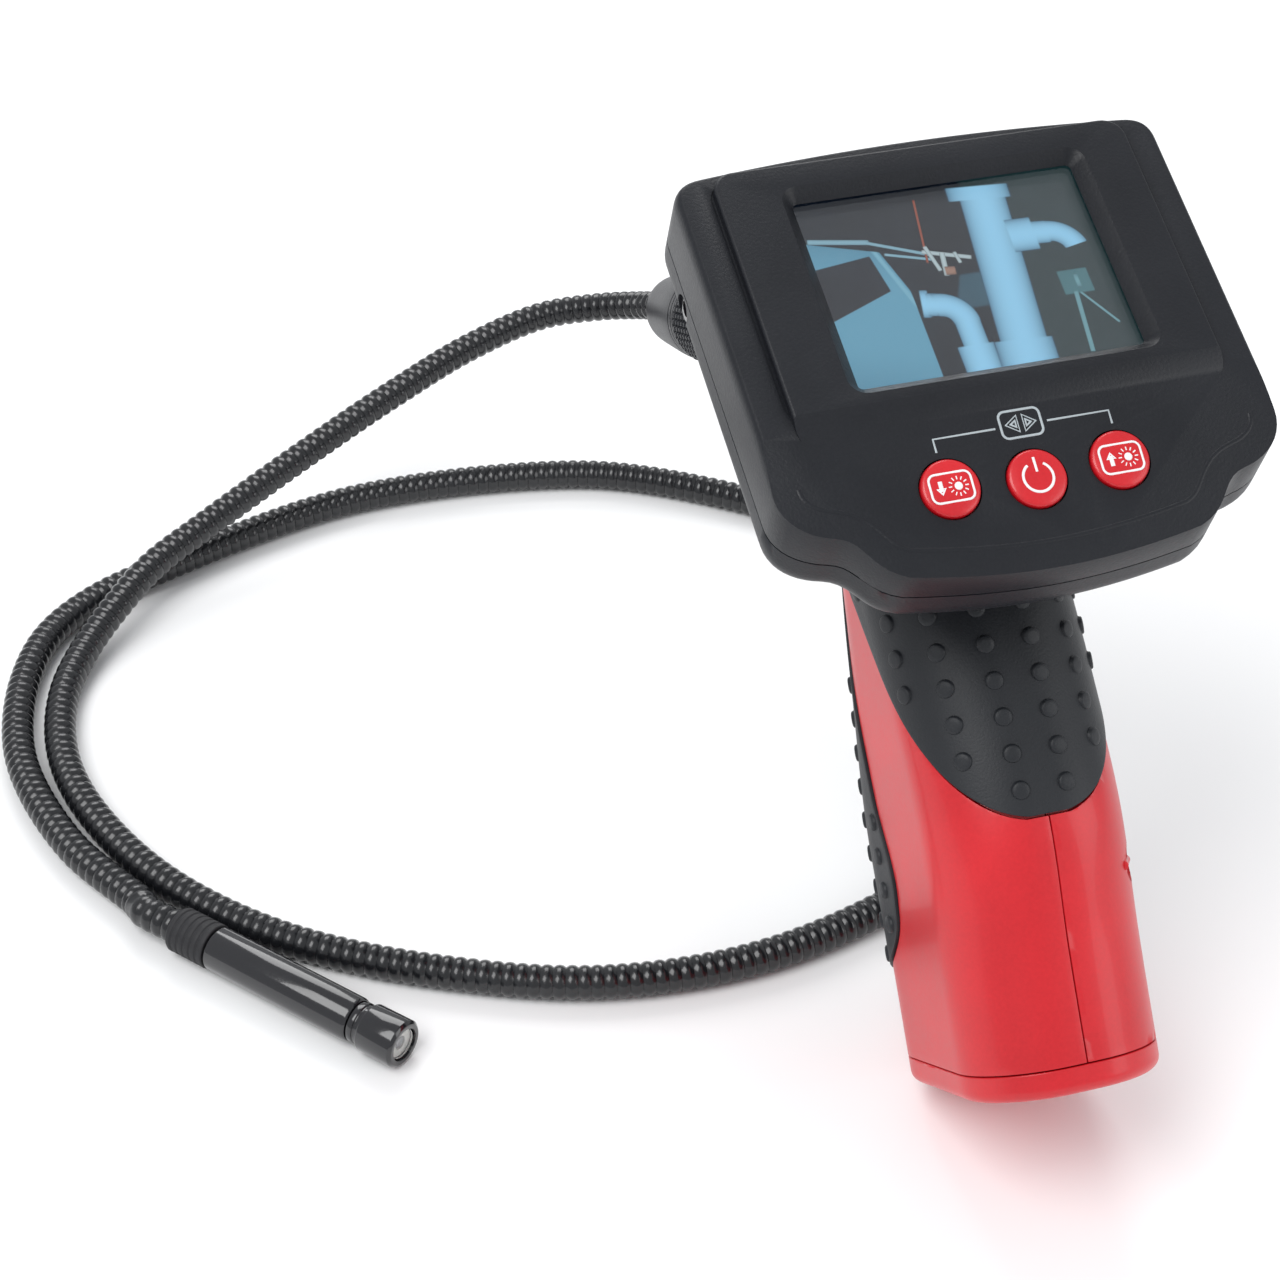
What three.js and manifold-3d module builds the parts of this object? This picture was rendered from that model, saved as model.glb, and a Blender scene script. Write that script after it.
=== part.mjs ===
// Handheld inspection camera: a pistol-grip housing with a tilted colour display and three
// keys, four AA cells in the handle, and a detachable gooseneck probe with a camera on its tip.
// Millimetres, +Z up. +X is the user's right, -Y is towards the user. The origin is on the
// table, under the middle of the housing, which leans back on the heel of its cap and is
// propped by the gooseneck that lies on the table.
import * as THREE from "three";
import { mergeVertices } from "three/addons/utils/BufferGeometryUtils.js";
import Module from "manifold-3d";

const wasm = await Module();
wasm.setup();
const { degToRad, lerp } = THREE.MathUtils;

// ---- Driving dimensions ----
const GAP = 0.3; // between neighbouring pieces
const WALL = 2.2; // moulded housings
const LEAN = degToRad(39); // of the handle, back from upright

// Handle, upright: z = 0 is the underside of the cap, y = 0 its middle. [height, distance from y = 0]
const FRONT_PROFILE = [[0, 28], [25, 29], [48, 31], [70, 27.8], [100, 21.5], [125, 17]];
const REAR_PROFILE = [[0, 29.5], [30, 28.6], [50, 28], [75, 22], [100, 16.5], [125, 13]];
const HANDLE_HALF_WIDTH = 18.4;
const HANDLE_CORNER = 16;
const HANDLE_TOP = 100;
const CAP_HEIGHT = 5;
const CAP_FLOOR = 2.6;
const CAP_ROUND = 2.2;
const TONGUE_TOP = 11;
const TONGUE_WALL = 1.6;

// Rubber grips, let into the handle
const GRIP_DEPTH = 1.2;
const GRIP_PROUD = 0.5;
const RECESS_GAP = 0.6; // around and under the grips, whose facets differ from the handle's
const FRONT_GRIP = { tip: 49, top: 99.5, halfWidth: 36, power: 2.2 };
// [height, half width along the surface]
const REAR_GRIP = [[18, 8], [22, 21], [28, 31], [36, 35], [55, 30.5], [79, 23], [97, 19]];

// Head, in its own frame: x right, y up the display, z out of the display
const DISPLAY_AHEAD = 35.8; // of the handle's middle
const DISPLAY_HEIGHT = 142.3;
const HEAD_TILT = degToRad(61.9);
const HEAD_HALF_WIDTH = 44.6;
const HEAD_TOP = 30;
const HEAD_TOP_AT_CORNER = 28.2;
const HEAD_CORNER = 5.5;
const SHOULDER = -44.6; // underside of the head beside the lobe
const LOBE = -55.6; // underside of the lobe over the handle
const RIM = 0.9; // face around the raised panel, above the glass
const PANEL_FACE = 2.6;
const PANEL_HALF_WIDTH = 38;
const PANEL_TOP = 26.8;
const CREASE = -26.2; // where the key panel starts to fall away
const PANEL_BOTTOM = -23.6;
const KEY_PANEL_TILT = degToRad(12);
const PARTING = -11; // joint of the front and rear shells
const HEAD_BACK = -19.3;
const EDGE_ROUND = 1.4;
const RIM_DRAFT = { inset: 1.3, depth: 3 }; // the front shell narrows towards its rim
const BACK_DRAFT = { inset: 3, depth: 5 };
const DISPLAY_OFFSET = 0.8; // display and key panel sit right of the head's middle

// Display
const PICTURE = { width: 48.96, height: 36.72 }; // 2.4 inch, 4:3
const WINDOW_LIP = 1.2; // visible glass around the picture
const WINDOW_SEAT = 1.6; // hidden under the lip
const WINDOW_THICK = 1.2;
const BEZEL_SLOPE = 2.4;
const LCD = { width: 55, height: 42.6, thick: 2.8 };
const FRAME_WALL = 1.8;

// Keys
const KEY_RADIUS = 5.1;
const KEY_PITCH = 15;
const KEY_DROP = 13.9; // below the crease, along the key panel
const KEY_PROUD = 0.8;
const KEY_FLANGE = 0.9;
const SWITCH = { size: 6, height: 3.5, plunger: 1.6 };

// Boards
const BOARD_THICK = 1.6;
const BOARD_TOP = -11;
const BOARD_HALF_WIDTH = HEAD_HALF_WIDTH - 8.2 - 2 * WALL;
const BOARD_END = 29.4 - 2 * WALL;
const BOARD_SHOULDER = 2 * WALL - 42.4;
const BOARD_FOOT = { halfWidth: 27.4 - 2 * WALL, bottom: 1.6 * WALL - 51.52 };

// Barrel and probe, about an axis that rises rearwards over the handle
const BARREL_AHEAD = 31.9; // start of the axis, ahead of the handle's middle
const BARREL_HEIGHT = 124.7;
const BARREL_RISE = degToRad(12.5);
const BARREL_RADIUS = 24;
const BARREL_END = 136;
const BARREL_END_RADIUS = 11;
const SPIGOT_RADIUS = 8;
const SPIGOT_LENGTH = 12;
const SOCKET_RADIUS = 5.2;
const NUT_RADIUS = 10.4;
const NUT_LENGTH = 25;
const NUT_RIBS = 4;
const PLUG_RADIUS = 6.2;
const CONNECTOR_LENGTH = 30;
const CONNECTOR_RADIUS = 10;
const CONNECTOR_TIP_RADIUS = 8.2;
const CABLE_RADIUS = 3.5;

// Cells
const CELL_RADIUS = 7.1;
const CELL_LENGTH = 50.5;
const CELL_PITCH = 14.7; // side by side
const ROW_PITCH = 15.9; // front to back, with the tray's web between the rows
const TRAY_PLATE = 1.5;
const TRAY_BOTTOM = 12;

// Camera head on the probe's tip
const CAMERA_RADIUS = 4.9;
const SLEEVE_LENGTH = 9.5;
const CAMERA_TUBE_LENGTH = 36;
const NECK_RADIUS = 4.2;
const NECK_LENGTH = 3;
const TIP_LENGTH = 8.5;
const LENS_RADIUS = 3.4;

const SECTION_SIDES = 28;
const ROUND_SIDES = 20;
const SLIVER = 0.01; // edges shorter than this are closed up

// ---- Materials ----
const finish = (color, roughness, metalness = 0, more = {}) =>
  new THREE.MeshStandardMaterial({ color, roughness, metalness, ...more });
const blackPlastic = () => finish(0x15161a, 0.55);
const redPlastic = () => finish(0xe0141c, 0.38);
const rubber = () => finish(0x17191e, 0.75);
const glossBlack = () => finish(0x08080a, 0.15);
const steel = () => finish(0xb8bcc0, 0.3, 1);
const circuitBoard = () => finish(0x14552f, 0.5);
const brass = () => finish(0xc9a24a, 0.3, 1);
const paleNylon = () => finish(0xd8d6cc, 0.5);

// ---- Solids ----
function solid(geometry) {
  const bare = geometry.index ? geometry.toNonIndexed() : geometry.clone();
  bare.deleteAttribute("normal");
  bare.deleteAttribute("uv");
  const merged = mergeVertices(bare, 1e-4);
  return new wasm.Manifold(
    new wasm.Mesh({
      numProp: 3,
      vertProperties: merged.attributes.position.array,
      triVerts: new Uint32Array(merged.index.array),
    }),
  );
}

function geometryOf(exact) {
  const manifold = exact.simplify(SLIVER);
  const mesh = manifold.getMesh();
  const geometry = new THREE.BufferGeometry();
  geometry.setAttribute("position", new THREE.BufferAttribute(mesh.vertProperties, 3));
  geometry.setIndex(new THREE.BufferAttribute(mesh.triVerts, 1));
  const flat = geometry.toNonIndexed();
  flat.computeVertexNormals();
  return flat;
}

function addPart(group, name, shape, material) {
  const geometry = shape.isBufferGeometry ? shape : geometryOf(shape);
  const mesh = new THREE.Mesh(geometry, material);
  mesh.name = name;
  group.add(mesh);
  return mesh;
}

const join = (first, ...others) => others.reduce((sum, other) => sum.add(other), first);
const cut = (first, ...others) => others.reduce((rest, other) => rest.subtract(other), first);

// A box given by its lowest and highest corners.
function block(low, high) {
  const size = high.map((value, axis) => value - low[axis]);
  const geometry = new THREE.BoxGeometry(...size);
  return geometry.translate(...low.map((value, axis) => value + size[axis] / 2));
}

// A flat outline between two heights.
function plate(shape, from, to, round = 0, curveSegments = 4) {
  const geometry = new THREE.ExtrudeGeometry(shape, {
    depth: to - from - 2 * round,
    bevelEnabled: round > 0,
    bevelThickness: round,
    bevelSize: round,
    bevelOffset: -round,
    bevelSegments: 2,
    curveSegments,
  });
  return geometry.translate(0, 0, from + round);
}

function roundedRectangle(width, height, radius, centreY = 0) {
  const [x, y] = [width / 2, height / 2];
  const shape = new THREE.Shape();
  shape.moveTo(-x + radius, centreY - y);
  shape.lineTo(x - radius, centreY - y);
  shape.absarc(x - radius, centreY - y + radius, radius, -Math.PI / 2, 0);
  shape.lineTo(x, centreY + y - radius);
  shape.absarc(x - radius, centreY + y - radius, radius, 0, Math.PI / 2);
  shape.lineTo(-x + radius, centreY + y);
  shape.absarc(-x + radius, centreY + y - radius, radius, Math.PI / 2, Math.PI);
  shape.lineTo(-x, centreY - y + radius);
  shape.absarc(-x + radius, centreY - y + radius, radius, Math.PI, 1.5 * Math.PI);
  return shape;
}

// A turned piece about Y. The profile's points are [radius, y].
function turned(profile, sides = ROUND_SIDES) {
  const points = profile.map(([radius, y]) => new THREE.Vector2(radius, y));
  if (THREE.ShapeUtils.area(points) < 0) points.reverse();
  const onAxis = points.filter((point) => point.x === 0).length > 0;
  if (onAxis) {
    while (!(points[0].x === 0 && points[points.length - 1].x === 0))
      points.push(points.shift());
  } else points.push(points[0].clone());
  return new THREE.LatheGeometry(points, sides);
}

// The same about Z.
const turnedUp = (profile, sides) => turned(profile, sides).rotateX(Math.PI / 2);

const rod = (radius, from, to, sides) =>
  turnedUp([[0, from], [radius, from], [radius, to], [0, to]], sides);

// ---- Handle surface ----
function profile(points) {
  const [heights, reaches] = [0, 1].map((column) => points.map((point) => point[column]));
  const curve = new THREE.CubicInterpolant(heights, reaches, 1);
  return (z) => curve.evaluate(THREE.MathUtils.clamp(z, heights[0], heights.at(-1)))[0];
}
const frontReach = profile(FRONT_PROFILE);
const handleFront = (z) => -frontReach(z);
const handleRear = profile(REAR_PROFILE);
const handleMiddle = (z) => (handleFront(z) + handleRear(z)) / 2;
const handleHalfDepth = (z) => (handleRear(z) - handleFront(z)) / 2;
const halfPerimeter = (z) =>
  2 * (HANDLE_HALF_WIDTH + handleHalfDepth(z)) - (4 - Math.PI) * HANDLE_CORNER;

// The point at a distance s around the section from its front middle, moved outwards.
function handlePoint(s, z, outwards) {
  const [halfWidth, halfDepth] = [HANDLE_HALF_WIDTH, handleHalfDepth(z)];
  const whole = 2 * halfPerimeter(z);
  const wrapped = s - whole * Math.round(s / whole);
  const flat = halfWidth - HANDLE_CORNER;
  const arc = (HANDLE_CORNER * Math.PI) / 2;
  const side = 2 * (halfDepth - HANDLE_CORNER);
  const along = Math.abs(wrapped);
  const firstTurn = THREE.MathUtils.clamp((along - flat) / HANDLE_CORNER, 0, Math.PI / 2);
  const secondTurn = THREE.MathUtils.clamp(
    (along - flat - arc - side) / HANDLE_CORNER,
    0,
    Math.PI / 2,
  );
  const turn = firstTurn + secondTurn;
  const frontRun = Math.min(along, flat);
  const sideRun = THREE.MathUtils.clamp(along - flat - arc, 0, side);
  const rearRun = Math.max(along - flat - 2 * arc - side, 0);
  const reach = HANDLE_CORNER + outwards;
  const x = frontRun - rearRun + reach * Math.sin(turn);
  const y = -halfDepth + HANDLE_CORNER + sideRun - reach * Math.cos(turn);
  return new THREE.Vector3(Math.sign(wrapped) * x, handleMiddle(z) + y, z);
}

// The handle's form between two heights, grown or shrunk by a distance or a rule for it.
function handleSolid(outwards, bottom, top, steps = 6) {
  const offset = typeof outwards === "function" ? outwards : () => outwards;
  const geometry = new THREE.CylinderGeometry(1, 1, 1, SECTION_SIDES, steps);
  const position = geometry.attributes.position;
  for (let i = 0; i < position.count; i++) {
    const z = lerp(bottom, top, position.getY(i) + 0.5);
    const [across, ahead] = [position.getX(i), position.getZ(i)];
    const point = new THREE.Vector3(0, handleMiddle(z), z);
    if (Math.hypot(across, ahead) > 0.5)
      point.copy(handlePoint((Math.atan2(across, ahead) / Math.PI) * halfPerimeter(z), z, offset(z)));
    position.setXYZ(i, point.x, point.y, point.z);
  }
  return geometry;
}

// A patch that wraps the handle. rows(v) gives its height and half width along the surface.
function handlePatch(rows, start, inner, outer) {
  const geometry = new THREE.BoxGeometry(1, 1, 1, 16, 8, 1);
  const position = geometry.attributes.position;
  for (let i = 0; i < position.count; i++) {
    const [z, halfWidth] = rows(position.getY(i) + 0.5);
    const s = start(z) + 2 * position.getX(i) * halfWidth;
    const point = handlePoint(s, z, position.getZ(i) > 0 ? outer : inner);
    position.setXYZ(i, point.x, point.y, point.z);
  }
  return geometry;
}

// ---- Head outline ----
function headShape() {
  const shape = new THREE.Shape();
  const [w, corner] = [HEAD_HALF_WIDTH, HEAD_CORNER];
  shape.moveTo(0, HEAD_TOP);
  shape.quadraticCurveTo(-(w - corner) / 2, HEAD_TOP, -(w - corner), HEAD_TOP_AT_CORNER);
  shape.quadraticCurveTo(-w, HEAD_TOP_AT_CORNER - 0.4, -w, HEAD_TOP_AT_CORNER - corner);
  shape.lineTo(-w, SHOULDER + 9);
  shape.bezierCurveTo(-w, SHOULDER + 4, -w + 4, SHOULDER + 1, -w + 8.5, SHOULDER);
  shape.bezierCurveTo(-w + 13.5, SHOULDER - 1.2, -w + 12.5, LOBE + 5, -w + 19, LOBE + 2.6);
  shape.quadraticCurveTo(-12, LOBE, 0, LOBE);
  shape.quadraticCurveTo(12, LOBE, w - 19, LOBE + 2.6);
  shape.bezierCurveTo(w - 12.5, LOBE + 5, w - 13.5, SHOULDER - 1.2, w - 8.5, SHOULDER);
  shape.bezierCurveTo(w - 4, SHOULDER + 1, w, SHOULDER + 4, w, SHOULDER + 9);
  shape.lineTo(w, HEAD_TOP_AT_CORNER - corner);
  shape.quadraticCurveTo(w, HEAD_TOP_AT_CORNER - 0.4, w - corner, HEAD_TOP_AT_CORNER);
  shape.quadraticCurveTo((w - corner) / 2, HEAD_TOP, 0, HEAD_TOP);
  return shape;
}

// The head outline moved inwards by a distance.
function headInset(distance) {
  const points = headShape().getPoints(4);
  points.pop();
  const inset = points.map((point, i) => {
    const before = points[(i + points.length - 1) % points.length];
    const after = points[(i + 1) % points.length];
    const along = after.clone().sub(before).normalize();
    return new THREE.Vector2(point.x - along.y * distance, point.y + along.x * distance);
  });
  return new THREE.Shape(inset);
}

// The head's form between two depths, narrowed at both ends.
function draftedHead(from, to, { inset, depth }) {
  const geometry = new THREE.ExtrudeGeometry(headShape(), {
    depth: to - from - 2 * depth,
    bevelEnabled: true,
    bevelThickness: depth,
    bevelSize: inset,
    bevelOffset: -inset,
    bevelSegments: 2,
    curveSegments: 4,
  });
  return geometry.translate(0, 0, from + depth);
}

const headMatrix = new THREE.Matrix4()
  .makeTranslation(0, -DISPLAY_AHEAD, DISPLAY_HEIGHT)
  .multiply(new THREE.Matrix4().makeRotationX(HEAD_TILT));
const fromHead = (geometry) => geometry.applyMatrix4(headMatrix);
const barrelMatrix = new THREE.Matrix4()
  .makeTranslation(0, -BARREL_AHEAD, BARREL_HEIGHT)
  .multiply(new THREE.Matrix4().makeRotationX(BARREL_RISE));
const fromBarrel = (geometry) => geometry.applyMatrix4(barrelMatrix);

// Everything above the key panel's face, lowered by a depth.
function aboveKeyPanel(depth) {
  const slab = block([-100, -100, -depth], [100, 0, 60]);
  return slab.rotateX(KEY_PANEL_TILT).translate(0, CREASE, RIM);
}

const SCREW_PLACES = [
  [-36.5, 21],
  [36.5, 21],
  [-37, -31],
  [37, -31],
];
const SCREW = { radius: 1, head: 2.6, headHeight: 1.8, pilot: 1.3, clear: 1.5 };
const SCREW_SEAT = HEAD_BACK + 4; // floor of the counterbore
const FRONT_BOSS_TOP = -2;

// ---- Head ----
function makeHeadFront() {
  const body = cut(
    solid(draftedHead(PARTING - 2 * RIM_DRAFT.depth, RIM, RIM_DRAFT)),
    solid(block([-100, -100, -80], [100, 100, PARTING])),
  );
  const panelHeight = PANEL_TOP - PANEL_BOTTOM;
  const panelMiddle = (PANEL_TOP + PANEL_BOTTOM) / 2;
  const panelShape = roundedRectangle(2 * PANEL_HALF_WIDTH, panelHeight, 4, panelMiddle);
  const panel = solid(plate(panelShape, FRONT_BOSS_TOP, PANEL_FACE, EDGE_ROUND / 2));
  const cavity = cut(
    solid(plate(headInset(WALL), PARTING - 1, FRONT_BOSS_TOP)),
    solid(aboveKeyPanel(WALL)),
  );
  const bosses = SCREW_PLACES.map(([x, y]) =>
    solid(rod(3.2, PARTING, FRONT_BOSS_TOP + 0.5, 12).translate(x, y, 0)),
  );
  const pilots = SCREW_PLACES.map(([x, y]) =>
    solid(rod(SCREW.pilot, PARTING - 1, FRONT_BOSS_TOP - 1, 10).translate(x, y, 0)),
  );
  const visible = [PICTURE.width + 2 * WINDOW_LIP, PICTURE.height + 2 * WINDOW_LIP];
  const opening = solid(
    plate(roundedRectangle(...visible, 1), FRONT_BOSS_TOP - 2, PANEL_FACE + 1).translate(DISPLAY_OFFSET, 0, 0),
  );
  const slope = new THREE.CylinderGeometry(1, 1, PANEL_FACE, 4, 1).rotateX(Math.PI / 2).rotateZ(Math.PI / 4);
  const slopePoints = slope.attributes.position;
  for (let i = 0; i < slopePoints.count; i++) {
    const z = slopePoints.getZ(i) + PANEL_FACE / 2;
    const grow = (z / PANEL_FACE) * BEZEL_SLOPE;
    slopePoints.setXYZ(
      i,
      Math.sign(Math.round(slopePoints.getX(i) * 10)) * (visible[0] / 2 + grow),
      Math.sign(Math.round(slopePoints.getY(i) * 10)) * (visible[1] / 2 + grow),
      z + GAP + 0.01,
    );
  }
  const seatWidth = visible[0] + 2 * WINDOW_SEAT;
  const seatHeight = visible[1] + 2 * WINDOW_SEAT;
  const seat = solid(
    plate(roundedRectangle(seatWidth, seatHeight, 1), FRONT_BOSS_TOP - 2, GAP).translate(DISPLAY_OFFSET, 0, 0),
  );
  const keyHoles = keyPlaces().map(([x, y]) =>
    solid(
      rod(KEY_RADIUS + GAP, -8, 8, 20)
        .translate(x, y, 0)
        .rotateX(KEY_PANEL_TILT)
        .translate(0, CREASE, RIM),
    ),
  );
  const shell = join(cut(join(body, panel), solid(aboveKeyPanel(0)), cavity), ...bosses);
  slope.translate(DISPLAY_OFFSET, 0, 0);
  return cut(shell, ...pilots, opening, solid(slope), seat, ...keyHoles);
}

function keyPlaces() {
  return [
    [-KEY_PITCH, -KEY_DROP + 0.1],
    [0, -KEY_DROP - 0.7],
    [KEY_PITCH, -KEY_DROP + 0.1],
  ];
}

// Video-out jack in the left wall
const JACK_Y = 12.2;
const JACK_Z = HEAD_BACK + WALL + 2.3;
const JACK_BARREL = 2.4;
const JACK_BORE = 1.5;
const JACK_BODY = { halfWidth: 4, halfHeight: 1.9, depth: 9 };

function jackRod(radius, fromX, toX) {
  return rod(radius, fromX, toX, 14)
    .rotateY(Math.PI / 2)
    .translate(0, JACK_Y, JACK_Z);
}

function makeJack() {
  const outer = -HEAD_HALF_WIDTH + 0.6;
  const inner = -HEAD_HALF_WIDTH + WALL + BACK_DRAFT.inset / 2 + GAP;
  const { halfWidth, halfHeight, depth } = JACK_BODY;
  const shell = solid(
    block(
      [inner, JACK_Y - halfWidth, JACK_Z - halfHeight],
      [inner + depth, JACK_Y + halfWidth, JACK_Z + halfHeight],
    ),
  );
  const nose = solid(jackRod(JACK_BARREL, outer, inner + 1));
  return cut(join(shell, nose), solid(jackRod(JACK_BORE, outer - 1, inner + depth - 1.5)));
}

function makeKey() {
  const edge = 0.7;
  return turnedUp([
    [0, -WALL - GAP - KEY_FLANGE],
    [KEY_RADIUS + 1, -WALL - GAP - KEY_FLANGE],
    [KEY_RADIUS + 1, -WALL - GAP],
    [KEY_RADIUS, -WALL - GAP],
    [KEY_RADIUS, KEY_PROUD - edge],
    [KEY_RADIUS - 0.2, KEY_PROUD - edge * 0.3],
    [KEY_RADIUS - edge, KEY_PROUD],
    [KEY_RADIUS * 0.5, KEY_PROUD + 0.2],
    [0, KEY_PROUD + 0.25],
  ]);
}

function makeSwitch() {
  const half = SWITCH.size / 2;
  const base = solid(block([-half, -half, 0], [half, half, SWITCH.height - 0.8]));
  return join(base, solid(rod(SWITCH.plunger, 0.5, SWITCH.height, 10)));
}

function makeMainBoard() {
  const shape = new THREE.Shape([
    [-BOARD_HALF_WIDTH, BOARD_END],
    [-BOARD_HALF_WIDTH, BOARD_SHOULDER],
    [-BOARD_FOOT.halfWidth, BOARD_SHOULDER],
    [-BOARD_FOOT.halfWidth, BOARD_FOOT.bottom],
    [BOARD_FOOT.halfWidth, BOARD_FOOT.bottom],
    [BOARD_FOOT.halfWidth, BOARD_SHOULDER],
    [BOARD_HALF_WIDTH, BOARD_SHOULDER],
    [BOARD_HALF_WIDTH, BOARD_END],
  ].map(([x, y]) => new THREE.Vector2(x, y)));
  return plate(shape, BOARD_TOP - BOARD_THICK, BOARD_TOP);
}

function makeDisplayFrame() {
  const [width, height] = [LCD.width + 2 * GAP, LCD.height + 2 * GAP];
  const shape = roundedRectangle(width + 2 * FRAME_WALL, height + 2 * FRAME_WALL, 2);
  shape.holes.push(roundedRectangle(width, height, 0.5));
  return plate(shape, BOARD_TOP + GAP, FRONT_BOSS_TOP - GAP);
}

// Screw along +Z with the underside of its head at z = 0.
function makeScrew(length) {
  return turnedUp(
    [[0, -SCREW.headHeight], [SCREW.head, -SCREW.headHeight], [SCREW.head, 0], [SCREW.radius, 0],
      [SCREW.radius, length - 1], [0, length]],
    10,
  );
}

// ---- Rear housing: the back of the head, the saddle over the handle, and the barrel ----
const SADDLE_TOP = 118;
const BARREL_FORM = [
  [BARREL_RADIUS, 34],
  [20.2, 56],
  [16, 76],
  [12.2, 96],
  [BARREL_END_RADIUS, 108],
  [BARREL_END_RADIUS, BARREL_END],
];

function barrelProfile(inset, start) {
  const curve = new THREE.SplineCurve(BARREL_FORM.map(([r, y]) => new THREE.Vector2(r, y)));
  const side = curve.getPoints(6).map((point) => [point.x - inset, point.y]);
  return [[0, start], [BARREL_RADIUS - inset, start], ...side];
}

function makeRearHousing() {
  const frontOfSplit = solid(fromHead(block([-100, -100, PARTING - GAP], [100, 100, 80])));
  const back = solid(fromHead(draftedHead(HEAD_BACK, -HEAD_BACK, BACK_DRAFT)));
  const barrel = solid(
    fromBarrel(
      turned([
        ...barrelProfile(0, -20),
        [SPIGOT_RADIUS, BARREL_END],
        [SPIGOT_RADIUS, BARREL_END + SPIGOT_LENGTH],
        [0, BARREL_END + SPIGOT_LENGTH],
      ]),
    ),
  );
  const saddle = solid(handleSolid(0, HANDLE_TOP + GAP, SADDLE_TOP, 2));
  const insideHead = solid(fromHead(plate(headInset(WALL + BACK_DRAFT.inset / 2), HEAD_BACK + WALL, 60)));
  const insideBarrel = solid(
    fromBarrel(
      turned([
        ...barrelProfile(WALL, -60).filter(([, y]) => y < BARREL_END - WALL - 1),
        [BARREL_END_RADIUS - WALL, BARREL_END - WALL],
        [SOCKET_RADIUS + GAP, BARREL_END - WALL],
        [SOCKET_RADIUS + GAP, BARREL_END + 40],
        [0, BARREL_END + 40],
      ]),
    ),
  );
  const insideSaddle = solid(handleSolid(-WALL, HANDLE_TOP - 5, SADDLE_TOP - 2, 2));
  const outer = join(back, barrel, saddle);
  const shell = cut(outer, insideBarrel, insideSaddle, insideHead);
  const pillars = SCREW_PLACES.map(([x, u]) =>
    solid(fromHead(rod(4, HEAD_BACK + 0.5, PARTING - GAP, 12).translate(x, u, 0))),
  );
  const holes = SCREW_PLACES.flatMap(([x, u]) => [
    solid(fromHead(rod(SCREW.clear, HEAD_BACK - 5, PARTING + 5, 10).translate(x, u, 0))),
    solid(fromHead(rod(SCREW.head + GAP, HEAD_BACK - 5, SCREW_SEAT, 12).translate(x, u, 0))),
  ]);
  const jackHole = solid(fromHead(jackRod(JACK_BARREL + GAP, -HEAD_HALF_WIDTH - 2, -HEAD_HALF_WIDTH + WALL + 3)));
  return cut(join(shell, ...pillars), frontOfSplit, ...holes, jackHole);
}

// ---- Handle ----
const HANDLE_SCREWS = [
  [6, 76],
  [2, 95],
];
const STRAP = { z: 37, turn: degToRad(65), halfLength: 3.6, halfHeight: 3.4, depth: 2.4, bar: 0.9 };

const frontGripRows = (grow) => (v) => {
  const share = lerp(0.1, 1, v);
  const height = FRONT_GRIP.top - FRONT_GRIP.tip;
  return [
    FRONT_GRIP.tip + height * share ** FRONT_GRIP.power - grow * (1 - v) + grow * v,
    FRONT_GRIP.halfWidth * share + grow,
  ];
};

const rearGripHalfWidth = profile(REAR_GRIP);
const rearGripRows = (grow) => (v) => {
  const [bottom, top] = [REAR_GRIP[0][0], REAR_GRIP.at(-1)[0]];
  const z = lerp(bottom, top, v ** 1.6);
  return [z + grow * (2 * v - 1), rearGripHalfWidth(z) + grow];
};

const frontMiddle = () => 0;
const rearMiddle = (z) => halfPerimeter(z);

const makeGrip = (rows, start) => handlePatch(rows(0), start, -GRIP_DEPTH, GRIP_PROUD);

function makeHandleHalf(side) {
  const shell = cut(
    solid(handleSolid(0, CAP_HEIGHT + GAP, HANDLE_TOP)),
    solid(handleSolid(-WALL - GRIP_DEPTH / 2, CAP_HEIGHT - 1, HANDLE_TOP + 1)),
    solid(handlePatch(frontGripRows(RECESS_GAP), frontMiddle, -GRIP_DEPTH - RECESS_GAP, 3)),
    solid(handlePatch(rearGripRows(RECESS_GAP), rearMiddle, -GRIP_DEPTH - RECESS_GAP, 3)),
  );
  const reach = HANDLE_HALF_WIDTH - 0.4;
  const bosses = HANDLE_SCREWS.map(([y, z]) =>
    solid(rod(3.4, 0, side * (reach - 2.1), 12).rotateY(Math.PI / 2).translate(0, y, z)),
  );
  const bores = HANDLE_SCREWS.flatMap(([y, z]) => {
    const across = (radius, from, to) =>
      solid(rod(radius, from, to, 12).rotateY(Math.PI / 2).translate(0, y, z));
    return side > 0
      ? [across(SCREW.clear, -5, 40), across(SCREW.head + GAP, reach - 4, 40)]
      : [across(SCREW.pilot, -12, 5)];
  });
  const half = side > 0 ? block([GAP / 2, -60, 0], [60, 80, 120]) : block([-60, -60, 0], [-GAP / 2, 80, 120]);
  const body = cut(join(shell, ...bosses).intersect(solid(half)), ...bores);
  if (side < 0) return body;
  return withStrapBar(body);
}

// A pocket in the front right corner with a bar across it for a wrist strap.
function withStrapBar(body) {
  const { z, turn, halfLength, halfHeight, depth, bar } = STRAP;
  const flat = HANDLE_HALF_WIDTH - HANDLE_CORNER;
  const surface = handlePoint(flat + HANDLE_CORNER * turn, z, 0);
  const place = (geometry) =>
    solid(geometry.rotateZ(turn - Math.PI / 2).translate(surface.x, surface.y, z));
  const rim = 1.4;
  const floor = 0.8;
  const lump = place(
    block([-depth - floor, -halfLength - rim, -halfHeight - rim], [-1.6, halfLength + rim, halfHeight + rim]),
  );
  const pocket = place(block([-depth, -halfLength, -halfHeight], [5, halfLength, halfHeight]));
  const across = place(rod(bar, -halfLength - 0.6, halfLength + 0.6, 10).rotateX(-Math.PI / 2).translate(-bar, 0, 0));
  return join(cut(join(body, lump), pocket), across);
}

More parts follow.
